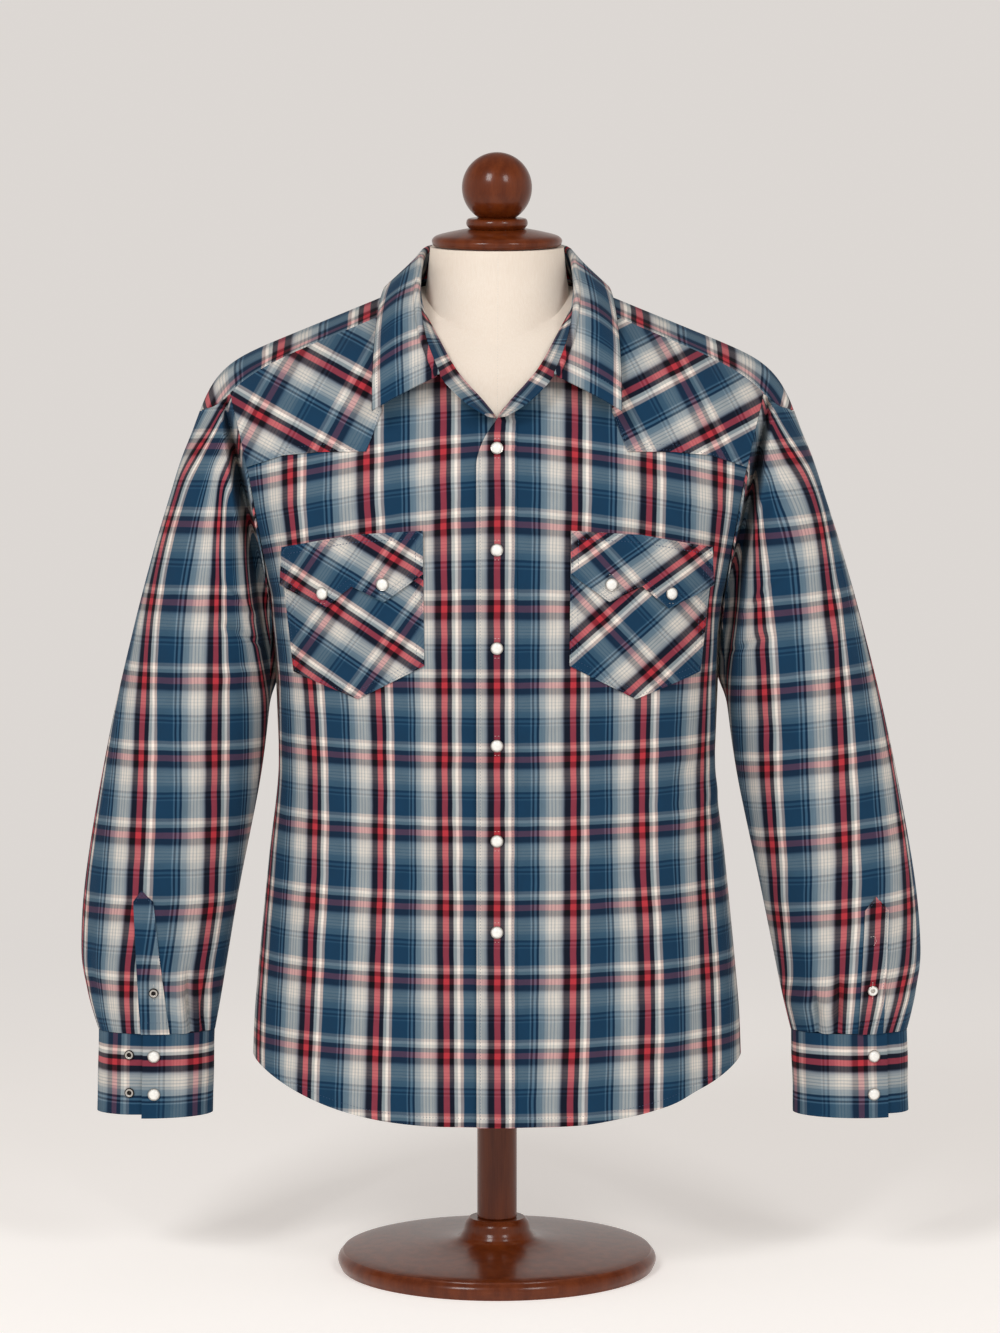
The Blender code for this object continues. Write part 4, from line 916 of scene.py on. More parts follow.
def armhole():
    """The armhole from the underarm up the front and down the back: points, the panels' way out
    through them, the outward normals and the share of the way round."""
    behind = np.concatenate([
        ARMPIT + (yoke_line(1.0) - ARMPIT) * np.array((0,) + BACK_SHARES),
        yoke_line(1.0) + (BACK_NECK - yoke_line(1.0)) * np.array(YOKE_SHARES[1:]), SHOULDER_ROWS])
    before = FRONT_ROWS[FRONT_ROWS >= ARMPIT]
    points = np.concatenate([front(0 * before + 1, before), back(0 * behind + 1, behind)[-2::-1]])
    out = np.concatenate([edge_normals(front, before), edge_normals(back, behind)[-2::-1]])
    run = np.gradient(points, axis=0)
    run[0] = run[-1] = points[1] - points[-2]
    return points, unit(np.cross(run, out)), out, shares_along(points)


def tube(share, ring, swing=0.0):
    """The sleeve's plain tube. share runs round as the armhole does, and ring down the table."""
    c = read(SLEEVE_RINGS, RING_COLUMNS, ring, key=range(len(SLEEVE_RINGS)))
    cosine, sine = np.cos(math.pi - 2 * math.pi * share), np.sin(2 * math.pi * share)
    x = (c.x_over + c.x_under) / 2 + (c.x_over - c.x_under) / 2 * cosine
    x = x + swing * (ring / (len(SLEEVE_RINGS) - 1)) ** 2
    z = (c.z_over + c.z_under) / 2 + (c.z_over - c.z_under) / 2 * cosine
    return joined((x, -c.forward - c.half_depth * sine, z))


def fold_depth(share, ring):
    """How far the cloth is drawn in by the fold beside the armhole."""
    ahead = np.where(share <= 0.5, share, 1 - share)
    c = read(FRONT_FOLD, FOLD_COLUMNS, np.clip(ahead, FRONT_FOLD[0][0], 0.5))
    depth = c.depth * np.where(share <= 0.5, 1, -BACK_FOLD_SHARE)
    return depth * np.exp(-(((ring - c.ring) / FOLD_WIDTH) ** 2)) * eased(ring / 0.4)


def body_tree():
    """Where the body's cloth lies beside the sleeves, by its depth and height."""
    across, up = np.meshgrid(np.linspace(0.4, 1, 180), np.linspace(0.28, 0.80, 240))
    cloth = np.concatenate([front(across, up).reshape(-1, 3), back(across, up).reshape(-1, 3)])
    tree = KDTree(len(cloth))
    for i, (_, y, z) in enumerate(cloth):
        tree.insert((0, y, z), i)
    tree.balance()
    return tree, cloth[:, 0]


def kept_off(points, tree, cloth_x, clear):
    """The points, moved sideways where the body's cloth lies less than clear from them."""
    points = points.copy()
    flat = points.reshape(-1, 3)
    for spot in flat:
        if 0.19 < spot[0] < 0.30:
            _, index, off = tree.find((0, spot[1], spot[2]))
            if off < 0.006:
                spot[0] = max(spot[0], cloth_x[index] + clear)
    return points


def sleeve_crease(table, share, ring, girth, fall):
    """How far a sleeve's cloth stands out, from its table of creases."""
    out = np.zeros(share.shape)
    for round0, ring0, round1, ring1, width, height in table:
        way = np.array(((round1 - round0) * girth.mean(), (ring1 - ring0) * fall))
        size = math.hypot(*way)
        way = way / size
        x, y = (share - round0) * girth, (ring - ring0) * fall
        along = (x * way[0] + y * way[1]) / size
        off = x * way[1] - y * way[0] - 0.35 * width * np.sin(4 * along + 11 * round0)
        out += height * ridge(off, along, width)
    return out


def turned_back(points, share, ring):
    """How far the sleeve turns back beside the armhole."""
    slope = (TURN_TOP[0] - TURN_LOW[0]) / (TURN_TOP[1] - TURN_LOW[1])
    inside = TURN_LOW[0] + slope * (points[..., 2] - TURN_LOW[1]) - points[..., 0]
    turn = eased(inside / 0.007) * eased(ring / 0.5) * eased((6.5 - ring) / 2.5)
    return TURN_SHARE * turn * np.where(share < 0.5, np.clip(-points[..., 1], 0, 0.06), 0)


def sleeve_stripes(points, run, lines):
    """The coordinate round the sleeve, drawn so that two red stripes run down along the lines."""
    lines = np.array(lines)
    ahead = points.shape[1] // 2
    places = np.full((len(points), 2), np.nan)
    for row, (x, z) in enumerate(zip(points[:, :ahead, 0], points[:, :ahead, 2])):
        height = np.clip(z, lines[0, 0], lines[-1, 0])
        for k in (0, 1):
            off = x - smooth(lines[:, 0], lines[:, k + 1], height)
            passed = np.nonzero((off[:-1] <= 0) & (off[1:] > 0))[0]
            if len(passed):
                i = passed[-1]
                if z[i] > SLEEVE_LINES_END:
                    continue
                part = off[i] / (off[i] - off[i + 1])
                places[row, k] = run[row, i] * (1 - part) + run[row, i + 1] * part
    rows = np.arange(len(points))
    for k in (0, 1):
        known = ~np.isnan(places[:, k])
        filled = np.interp(rows, rows[known], places[known, k])
        wide = np.pad(filled, 4, mode="edge")
        places[:, k] = np.convolve(wide, np.full(9, 1 / 9), mode="valid")
    places[:, 1] = np.maximum(places[:, 1], places[:, 0] + 0.03)
    drawn = run.copy()
    for row, (near, far) in enumerate(places):
        knots = (near - 0.5, near - 0.03, near, far, far + 0.03, far + 0.5)
        wanted = (-0.5, -0.03, 0, WARP_REPEAT, WARP_REPEAT + 0.03, WARP_REPEAT + 0.5)
        drawn[row] = smooth(knots, wanted, run[row])
    return drawn


def sleeve_sheet(word):
    """The sleeve from its cuff up to the armhole: points, cloth coordinates and its rings."""
    hole, panel_way, out, shares = armhole()
    ring = np.array(SLEEVE_STEPS)[:, None]
    share = np.broadcast_to(shares, (len(ring), len(shares)))
    ring = np.broadcast_to(ring, share.shape).astype(float)
    points = tube(share, ring, SWING[word])
    behind = eased((share - 0.72) / 0.14) * eased((1.0 - share) / 0.06)
    points[..., 0] -= UNDERARM_BEHIND * behind * eased((ring - 0.5) / 1.2) * eased((5.4 - ring) / 1.2)
    leave = np.clip(1 - ring / 2.4, 0, 1)[..., None] ** 1.6
    points = points + (hole - tube(shares, 0 * shares)) * leave
    points[..., 1] += 0.35 * fold_depth(share, ring)
    tree, cloth_x = body_tree()
    points[1:] = kept_off(points[1:], tree, cloth_x, SLEEVE_CLEAR)
    points[0] = set_off(points[0], points[1] - points[0], out, panel_way)
    points[:, -1] = points[:, 0]
    points = refined(points[::-1], SLEEVE_FINE, closed=True)
    ring, share = refined(ring[::-1], SLEEVE_FINE), refined(share, SLEEVE_FINE)
    points[..., 1] += turned_back(points, share, ring)
    points[:-1] = kept_off(points[:-1], tree, cloth_x, SLEEVE_CLEAR)
    run = row_lengths(points)
    over = np.array([np.interp(0.5, s, r) for s, r in zip(share, run)])[:, None]
    girth = run[:, -1:]
    gather = np.where(ring[:, :1] > 8.0, np.interp(8.0, ring[::-1, 0], girth[::-1, 0]) / girth, 1)
    cloth = joined(((run - over) * gather, points[..., 2] * 0.945 - LEAN[word] * points[..., 0]))
    cloth[..., 0] = sleeve_stripes(points, cloth[..., 0], SLEEVE_LINES[word])
    lift = sleeve_crease(SLEEVE_CREASES[word], share, ring, girth, 0.062)
    end = eased((len(ring) - 1 - np.arange(len(ring))[:, None]) / 10)
    points = points + (lift * end)[..., None] * grid_normals(points, closed=True)
    points[:-9] = kept_off(points[:-9], tree, cloth_x, SLEEVE_CLEAR - 0.0005)
    points[:, -1] = points[:, 0]
    return points, cloth


def sleeve_pattern(points):
    """A sleeve's greatest girth and its length down the overarm, in metres."""
    middle = points.shape[1] // 2
    return float(row_lengths(points)[:, -1].max()), float(lengths(points[:, middle])[-1])


def cuff_sheet(word):
    """A cuff, from its upper end by the front and the back to the end that lies under it."""
    extra = CUFF_OVERLAP / (math.pi * (CUFF_HALF_WIDTH + CUFF_HALF_DEPTH))
    turns = np.linspace(0, 1 + extra, CUFF_GRID[1])
    way = np.linspace(0, 1, CUFF_GRID[1])
    inwards = 1.15 * LIFT * eased((turns - (1 - 0.8 * extra)) / (0.8 * extra))
    inwards = inwards - 0.0006 * eased(1 - way / 0.07)
    heights = np.linspace(CUFF_BOTTOM, CUFF_TOP - CUFF_GAP, CUFF_GRID[0])[:, None]
    low = (CUFF_TOP - heights) / (CUFF_TOP - CUFF_BOTTOM)
    angle = math.pi - 2 * math.pi * (LAP_START[word] - turns)
    x = CUFF_X + SWING[word] + CUFF_LEAN * low + (CUFF_HALF_WIDTH - inwards) * np.cos(angle)
    points = joined((x, -CUFF_FORWARD - (CUFF_HALF_DEPTH - inwards) * np.sin(angle), heights))
    # The upper end hangs a little lower than the end that it covers.
    points[..., 2] -= 0.0017 * low * (1 - 2 * way)
    run = row_lengths(points[:1])[0]
    wave = np.sin(run * 95 + heights * 60) * 0.35 + np.sin(run * 41 - heights * 90) * 0.5
    wave = 0.0006 * wave * np.sin(math.pi * (heights - CUFF_BOTTOM) / (CUFF_TOP - CUFF_BOTTOM))
    points = points + wave[..., None] * grid_normals(points)
    return points, joined((run[None, :], points[..., 2]))


def form_rows(rows, insets, surface):
    """Rows of the form's body: the loft, drawn in under the cloth and stopped at the shoulder."""
    up = np.array(rows)[:, None]
    c = read(insets, INSET_COLUMNS, up)
    across = np.minimum(FORM_ACROSS, c.reach)
    step = 1e-3
    up, across = np.broadcast_arrays(up, across)
    spot, inner = surface(across, up), np.maximum(across - step, 0)
    du = surface(inner + step, up) - surface(inner, up)
    dv = surface(across, up) - surface(across, up - step)
    normal = facing(unit(np.cross(du, dv)), spot - np.array((0, 0, 0.55)))
    inset = c.inset + c.neckline * eased(1 - FORM_ACROSS / 0.25)
    return spot - inset[..., None] * normal


def closed_up(grid):
    """Fills each open loop with a fan round its middle."""
    bmesh.ops.remove_doubles(grid, verts=grid.verts, dist=1e-5)
    bmesh.ops.dissolve_degenerate(grid, edges=grid.edges, dist=1e-5)
    holes = bmesh.ops.holes_fill(grid, edges=[edge for edge in grid.edges if edge.is_boundary])
    bmesh.ops.poke(grid, faces=holes["faces"])
    bmesh.ops.recalc_face_normals(grid, faces=grid.faces)
    return grid


def on_neck(height):
    """A place above the neck's top plate, along its lean."""
    z, middle = NECK_RINGS[-1][:2]
    return (0, middle - height * math.sin(NECK_TILT), z + height * math.cos(NECK_TILT))


# Materials.

WARP_REPEAT, WEFT_REPEAT = 0.0705, 0.0676  # metres of cloth to each repeat of the check
RED_START = 0.085  # the red stripe's middle, as a share of the repeat
YARN_PITCH, LINEN_PITCH = 0.00052, 0.00085  # metres to each two threads of the weave
WEFT_SHOWS = 0.31  # how much of the colour comes from the weft
YARNS = {
    "navy": (13, 8, 19), "red": (177, 53, 62), "sand": (178, 180, 176), "cream": (250, 238, 226),
    "tan": (172, 154, 150), "blue": (22, 56, 82), "pale": (66, 98, 122), "night": (10, 34, 56),
    "slate": (122, 138, 148), "white": (209, 203, 194), "grey": (150, 150, 154),
}
CHECK_STRIPES = (  # each yarn, and where along the repeat its stripe starts and ends
    ("navy", 0, .04), ("red", .051, .121), ("navy", .132, .18), ("sand", .19, .226),
    ("cream", .234, .262), ("tan", .272, .304), ("blue", .314, .532), ("pale", .54, .552),
    ("night", .562, .578), ("pale", .59, .612), ("night", .624, .642), ("slate", .655, .7),
    ("white", .778, .895), ("grey", .945), ("navy", .978, 1),
)


class Wire:
    """A value in a material's node tree, that takes part in sums like a number."""

    def __init__(self, recipe, socket):
        self.recipe, self.socket = recipe, socket

    def __add__(self, other):
        return self.recipe.sum("ADD", self, other)

    __radd__ = __add__

    def __sub__(self, other):
        return self.recipe.sum("SUBTRACT", self, other)

    def __rsub__(self, other):
        return self.recipe.sum("SUBTRACT", other, self)

    def __mul__(self, other):
        return self.recipe.sum("MULTIPLY", self, other)

    __rmul__ = __mul__

    def __truediv__(self, other):
        return self.recipe.sum("DIVIDE", self, other)

    def __rtruediv__(self, other):
        return self.recipe.sum("DIVIDE", other, self)


class Recipe:
    """One material, or the world, and its node tree."""

    def __init__(self, name, kind="materials", shader="Principled BSDF", **constants):
        self.material = getattr(bpy.data, kind).new(name)
        self.material.use_nodes = True
        self.tree = self.material.node_tree
        self.shader = self.tree.nodes[shader]
        for label, value in constants.items():
            self.shader.inputs[label.replace("_", " ")].default_value = value

    def node(self, kind, settings=(), inputs=(), output=0):
        """Adds a node: its settings first, then its inputs, each a value or a Wire."""
        made = self.tree.nodes.new("ShaderNode" + kind)
        for label, value in dict(settings).items():
            setattr(made, label, value)
        for key, value in dict(inputs).items():
            if isinstance(value, Wire):
                self.tree.links.new(value.socket, made.inputs[key])
            else:
                made.inputs[key].default_value = value
        return Wire(self, made.outputs[output])

    def sum(self, operation, *values):
        return self.node("Math", {"operation": operation}, dict(enumerate(values)))

    def mix(self, share, first, second):
        return self.node("Mix", {"data_type": "RGBA"}, {0: share, 6: first, 7: second}, 2)

    def ramp(self, value, stops):
        """A colour for each value from 0 to 1, from (place, colour) stops."""
        wire = self.node("ValToRGB", (), {0: value})
        elements = wire.socket.node.color_ramp.elements
        while len(elements) > 1:
            elements.remove(elements[0])
        elements[0].position, elements[0].color = stops[0][0], stops[0][1]
        for place, colour in stops[1:]:
            elements.new(place).color = colour
        return wire

    def soft(self, value, low, high):
        """0 below low, 1 above high, and a soft rise between."""
        return self.node("MapRange", {"interpolation_type": "SMOOTHSTEP"}, {0: value, 1: low, 2: high})

    def noise(self, place, scale, detail=2.0):
        return self.node("TexNoise", (), {"Vector": place, "Scale": scale, "Detail": detail})

    def bumped(self, height, distance, strength=1.0):
        return self.node("Bump", (), {"Height": height, "Distance": distance, "Strength": strength})

    def object_place(self):
        return self.node("TexCoord", output=3)

    def parts(self, place):
        """A place's x, y and z."""
        split = self.node("SeparateXYZ", (), {0: place})
        return [Wire(self, socket) for socket in split.socket.node.outputs]

    def stretched(self, place, *times):
        return self.node("VectorMath", {"operation": "MULTIPLY"}, {0: place, 1: times})

    def waves(self, value, pitch):
        return self.sum("SINE", value * (2 * math.pi / pitch))

    def feed(self, **sockets):
        """Sends a Wire to each of the shader's named inputs."""
        for label, wire in sockets.items():
            self.tree.links.new(wire.socket, self.shader.inputs[label.replace("_", " ")])
        return self.material


def screen(red, green, blue):
    """A colour as it looks on a screen (0 to 255), left in the screen's own scale."""
    return (red / 255, green / 255, blue / 255, 1.0)


def paint(red, green, blue):
    """The same colour in the light's own scale, as a shader wants it."""
    return tuple((c / 255) ** 2.2 for c in (red, green, blue)) + (1.0,)


def shirting():
    """A shaded check, woven warp-faced: broad stripes both ways, on the sheet's cloth coordinates."""
    r = Recipe("shaded_check", Roughness=0.88, Specular_IOR_Level=0.18, Sheen_Weight=0.03)
    place = r.node("UVMap", {"uv_map": "cloth"})
    u, v = r.parts(place)[:2]
    wander = (r.noise(place, 38.0, 1.0) - 0.5) * 0.0012
    stops = [(at, screen(*YARNS[yarn])) for yarn, *ends in CHECK_STRIPES for at in ends]
    threads, shades = {}, {}
    for name, along, repeat in (("warp", u + wander, WARP_REPEAT), ("weft", v - wander, WEFT_REPEAT)):
        share = r.sum("FRACT", along / repeat + RED_START)
        colour = r.ramp(share, stops)
        # Fine lines, set one by one into the shaded part.
        line = r.soft(r.sum("SINE", share * 142.0), 0.15, 0.85)
        zone = r.soft(share, 0.655, 0.70) * (1 - r.soft(share, 0.84, 0.96))
        colour = r.mix(line * zone * 0.36, colour, screen(88, 108, 126))
        threads[name] = r.waves(along, YARN_PITCH)
        shades[name] = colour
    weave = threads["warp"] * threads["weft"]
    show = WEFT_SHOWS + weave * 0.05
    colour = r.mix(show, shades["warp"], shades["weft"])
    wear = r.noise(place, 55.0, 3.0)
    tint = 0.94 + wear * 0.12
    colour = r.node("VectorMath", {"operation": "SCALE"}, {0: colour, "Scale": tint})
    colour = r.node("Gamma", (), {"Color": colour, "Gamma": 2.2})
    grain = weave * 0.5 + r.noise(place, 900.0, 1.0)
    return r.feed(Base_Color=colour, Normal=r.bumped(grain, 0.00012, 0.5),
                  Roughness=0.82 + wear * 0.12)


def thread(name, colour):
    """Sewing thread, with the twist of its plies."""
    r = Recipe(name, Roughness=0.62)
    place = r.object_place()
    ply = r.noise(place, 2400.0, 1.0)
    shade = r.mix(ply, paint(*(c * 0.82 for c in colour)), paint(*colour))
    return r.feed(Base_Color=shade, Normal=r.bumped(ply, 0.0001, 0.6))


def linen():
    """The form's cover: plain woven linen with slubs."""
    r = Recipe("form_linen_cover", Roughness=0.92, Specular_IOR_Level=0.3, Sheen_Weight=0.06)
    place = r.object_place()
    across, _, up = r.parts(place)
    weave = r.waves(across, LINEN_PITCH) * r.waves(up, LINEN_PITCH)
    slub = r.noise(r.stretched(place, 900.0, 900.0, 110.0), 1.0, 2.0)
    tone = r.noise(place, 16.0, 3.0)
    shade = r.mix(slub * 0.6 + tone * 0.3, paint(243, 233, 221), paint(226, 209, 190))
    shade = r.mix(r.soft(weave, 0.2, 1.0) * 0.14, shade, paint(206, 188, 168))
    return r.feed(Base_Color=shade, Normal=r.bumped(weave * 0.4 + slub, 0.0003, 0.55),
                  Roughness=0.86 + tone * 0.1)


def stained_wood():
    """Dark red-brown stain under gloss varnish. The grain runs up."""
    r = Recipe("stained_varnished_wood", Roughness=0.3, Specular_IOR_Level=0.15, Coat_Weight=0.34,
               Coat_Roughness=0.14)
    place = r.object_place()
    broad = r.noise(r.stretched(place, 95.0, 95.0, 9.0), 1.0, 4.0)
    fine = r.noise(r.stretched(place, 900.0, 900.0, 40.0), 1.0, 2.0)
    shade = r.ramp(broad * 0.75 + fine * 0.25, (
        (0.20, paint(74, 31, 12)), (0.45, paint(92, 42, 18)), (0.62, paint(106, 51, 24)),
        (0.80, paint(84, 37, 16))))
    return r.feed(Base_Color=shade, Roughness=0.24 + fine * 0.14,
                  Normal=r.bumped(fine, 0.00008, 0.5))


def pearl():
    """A snap's cap: white pearl, clouded."""
    r = Recipe("pearl_cap", Roughness=0.16, Coat_Weight=0.7, Coat_Roughness=0.05)
    place = r.object_place()
    cloud = r.noise(place, 420.0, 3.0)
    streak = r.noise(r.stretched(place, 240.0, 240.0, 900.0), 1.0, 2.0)
    shade = r.mix(r.soft(cloud, 0.3, 0.7), paint(251, 249, 243), paint(236, 235, 230))
    shade = r.mix(r.soft(streak, 0.5, 0.75) * 0.3, shade, paint(214, 218, 222))
    return r.feed(Base_Color=shade, Roughness=0.12 + cloud * 0.14)


def plated(name, dull, bright):
    """Plated metal of the snaps' rims, sockets and studs."""
    r = Recipe(name, Metallic=1.0, Roughness=0.3)
    scuff = r.noise(r.object_place(), 1500.0, 3.0)
    shade = r.mix(scuff, paint(*dull), paint(*bright))
    return r.feed(Base_Color=shade, Roughness=0.22 + scuff * 0.2)


def floor_finish():
    """Pale floor, which takes on the backdrop's own light far from the stand."""
    r = Recipe("studio_floor", Roughness=0.8, Specular_IOR_Level=0.0, Emission_Strength=1.0)
    place = r.object_place()
    away = r.soft(r.node("VectorMath", {"operation": "LENGTH"}, {0: place}, 1), *FLOOR_FADE)
    cloud = r.noise(place, 2.2, 3.0)
    shade = r.mix(cloud, paint(232, 229, 225), paint(238, 235, 232))
    shade = r.mix(away, shade, paint(0, 0, 0))
    glow = r.mix(away, tuple(0.50 * part for part in AIR) + (1.0,), AIR + (1.0,))
    return r.feed(Base_Color=shade, Emission_Color=glow, Roughness=0.6 + cloud * 0.2)


def soft_air(colour):
    """The light all round: the backdrop's colour at eye level, dimmer overhead."""
    r = Recipe("soft_air", "worlds", "Background", Color=(*colour, 1.0))
    up = r.parts(r.node("TexCoord"))[2]
    return r.feed(Strength=r.node("MapRange", (), {0: up, 1: 0.22, 2: 0.62, 3: 1.0, 4: AIR_ABOVE}))


FINISHES = {}


def finish(name):
    """Each finish is made once, when it is first asked for."""
    makers = {
        "check": shirting, "linen": linen, "wood": stained_wood, "pearl": pearl, "floor": floor_finish,
        "nickel": lambda: plated("nickel_plate", (178, 174, 168), (206, 202, 196)),
        "dark_nickel": lambda: plated("dark_nickel", (40, 38, 38), (66, 62, 60)),
        "pale_thread": lambda: thread("pale_thread", (226, 222, 214)),
        "blue_thread": lambda: thread("blue_thread", (58, 84, 118)),
    }
    if name not in FINISHES:
        FINISHES[name] = makers[name]()
    return FINISHES[name]


# Turned pieces, stitches and where things lie on the cloth.

def turned(name, profile, sides, spot=(0, 0, 0), axis=(0, 0, 1)):
    """A turned solid: a filled circle, extruded and resized along its profile of (radius, height)
    from the bottom up, then stood at its spot along its axis."""
    radius, height = profile[0]
    bpy.ops.object.select_all(action="DESELECT")
    bpy.ops.mesh.primitive_circle_add(vertices=sides, radius=radius, fill_type="NGON",
                                      location=(0, 0, 0))
    obj = bpy.context.object
    obj.name = obj.data.name = name
    bpy.ops.object.mode_set(mode="EDIT")
    bpy.ops.mesh.select_mode(type="FACE")
    bpy.ops.mesh.select_all(action="SELECT")
    bpy.ops.transform.translate(value=(0, 0, height))
    for new_radius, new_height in profile[1:]:
        bpy.ops.mesh.extrude_region_move(TRANSFORM_OT_translate={"value": (0, 0, new_height - height)})
        size = new_radius / radius
        bpy.ops.transform.resize(value=(size, size, 1), center_override=(0, 0, new_height))
        radius, height = new_radius, new_height
    bpy.ops.mesh.select_all(action="SELECT")
    bpy.ops.mesh.normals_make_consistent(inside=False)
    bpy.ops.object.mode_set(mode="OBJECT")
    bpy.ops.object.shade_smooth_by_angle(angle=TURNED_ANGLE)
    put_at(obj, spot, axis)
    return obj


def put_at(obj, spot, axis):
    """Moves a piece from the origin to its spot, with its own Z along the axis."""
    turn = Vector(axis).to_track_quat("Z", "Y").to_matrix().to_4x4()
    obj.data.transform(Matrix.Translation(Vector(spot)) @ turn)
    obj.data.update()


def painted(obj, *names):
    obj.data.materials.clear()
    for name in names:
        obj.data.materials.append(finish(name))


def two_toned(obj, first, second, has_second):
    """Paints a turned piece in two finishes: the second where a face's radius and height say so."""
    painted(obj, first, second)
    for polygon in obj.data.polygons:
        x, y, z = polygon.center
        if has_second(math.hypot(x, y), z):
            polygon.material_index = 1
    return obj


def added(obj, slot, *nodes):
    """Takes a finished piece into the object, in place of the nodes named."""
    if nodes:
        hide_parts(*nodes)
    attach(obj, BODY)
    return obj


def surface_of(names):
    """What a ray can meet: the faces of the named pieces together."""
    points, faces = [], []
    for name in names:
        mesh = bpy.data.objects[name].data
        start = len(points)
        points.extend(vertex.co.copy() for vertex in mesh.vertices)
        faces.extend([start + i for i in polygon.vertices] for polygon in mesh.polygons)
    return BVHTree.FromPolygons(points, faces)


def met(tree, x, z, way=1):
    """The place and normal that a level ray meets, from the front (1) or from behind (-1)."""
    spot, normal = tree.ray_cast(Vector((x, -way, z)), Vector((0, way, 0)))[:2]
    if spot is not None:
        return spot, -normal if normal.y * way > 0 else normal


def paced(length, pitch):
    """The middles of the even steps, each near the pitch, that a length holds."""
    count = max(2, round(length / pitch))
    return (np.arange(count) + 0.5) * length / count


def inset_path(corners, inwards):
    """The closed path drawn inwards from a shape's corners, which run round it."""
    corners = [np.array(c, float) for c in corners]
    turn = sum(a[0] * b[1] - b[0] * a[1] for a, b in zip(corners, corners[1:] + corners[:1]))
    made = []
    for before, corner, after in zip(corners[-1:] + corners, corners, corners[1:] + corners[:1]):
        offsets = []
        for a, b in ((before, corner), (corner, after)):
            way = (b - a) / np.linalg.norm(b - a)
            offsets.append(np.array((-way[1], way[0])) * math.copysign(1, turn))
        mean = unit(sum(offsets))
        made.append(corner + mean * inwards / max(0.35, float(mean @ offsets[0])))
    return made + made[:1]


STITCH_RING = ((0.0, 1.0), (0.95, -0.35), (-0.95, -0.35))


def stitch_mesh(name, stitches, thread_name="blue_thread", half=0.00105, thick=0.00026):
    """Many short stitches as one piece. Each is a spindle, from (place, way, normal)."""
    points, faces = [], []
    for place, way, normal in stitches:
        beside = way.cross(normal)
        start = len(points)
        middle = place + normal * (thick * 0.35)
        points.append(middle - way * half - normal * (thick * 0.5))
        for across, high in STITCH_RING:
            points.append(middle + beside * (across * thick) + normal * (high * thick))
        points.append(middle + way * half - normal * (thick * 0.5))
        for k in range(3):
            first, second = start + 1 + k, start + 1 + (k + 1) % 3
            faces.append((start, second, first))
            faces.append((start + 4, first, second))
    mesh = bpy.data.meshes.new(name)
    mesh.from_pydata([tuple(p) for p in points], [], faces)
    reworked(mesh)
    obj = add_object(name, mesh)
    painted(obj, thread_name)
    return added(obj, "shirting")


def row_of_stitches(tree, corners, pitch, way=1):
    """Stitches along a path (x, z), laid on what the rays meet."""
    corners = np.asarray(corners, float)
    run = lengths(corners)
    found = [met(tree, x, z, way) for x, z in spots_at(paced(run[-1], pitch), run, corners)]
    stitches = []
    for behind, here, ahead in zip([None] + found, found, found[1:] + [None]):
        if here and (ahead or behind):
            step = (ahead or here)[0] - (behind or here)[0]
            if 1e-6 <= step.length <= 4 * pitch:
                stitches.append((here[0], step.normalized(), here[1]))
    return stitches


def points_of_stitches(points, normals, pitch):
    """Stitches along a line of points in space, with the normal at each."""
    run = lengths(points)
    at = paced(run[-1], pitch)
    spot, out = spots_at(at, run, points), unit(spots_at(at, run, normals))
    way = unit(np.gradient(spot, axis=0))
    out = square_to(out, way)
    return [(Vector(s), Vector(w), Vector(n)) for s, w, n in zip(spot, way, out)]


# Settings.

class ShirtSettings(bpy.types.PropertyGroup):
    """What a user would change on the shirt."""

    wall: FloatProperty(
        name="Cloth", description="Thickness of one ply of shirting with its turnings",
        default=WALL, min=0.0004, max=0.0016, unit="LENGTH", precision=4)
    lay: FloatProperty(
        name="Layer", description="From a panel's middle to the middle of what is sewn onto it",
        default=LAY, min=0.0008, max=0.0020, unit="LENGTH", precision=4)
    cell: FloatProperty(
        name="Cell", description="Side of a cloth cell on the body",
        default=CELL, min=0.002, max=0.02, unit="LENGTH", precision=4)
    stitch: FloatProperty(
        name="Stitch pitch", description="From one stitch to the next",
        default=0.0029, min=0.0015, max=0.006, unit="LENGTH", precision=4)
    snap_radius: FloatProperty(
        name="Snap radius", description="Outer radius of a snap's rim",
        default=0.0058, min=0.004, max=0.008, unit="LENGTH", precision=4)
    socket_radius: FloatProperty(
        name="Socket radius", description="Outer radius of a small metal socket",
        default=0.0046, min=0.003, max=0.006, unit="LENGTH", precision=4)


class StandSettings(bpy.types.PropertyGroup):
    """What a user would change on the form, its woodwork and the stage."""

    sides: IntProperty(
        name="Sides", description="Sides of each turned piece", default=72, min=24, max=160)
    floor_radius: FloatProperty(
        name="Floor", description="Radius of the studio floor", default=9.0, min=2, max=30,
        unit="LENGTH")
    air: FloatVectorProperty(
        name="Backdrop", description="Colour of the light all round", subtype="COLOR", size=3,
        default=AIR, min=0, max=1)
    camera_distance: FloatProperty(
        name="Camera distance", description="From the camera to the middle of the shirt",
        default=3.4, min=1, max=20, unit="LENGTH")
    camera_height: FloatProperty(
        name="Camera elevation", description="How far above level the camera looks from",
        default=math.radians(3.5), min=-1.5, max=1.5, subtype="ANGLE")


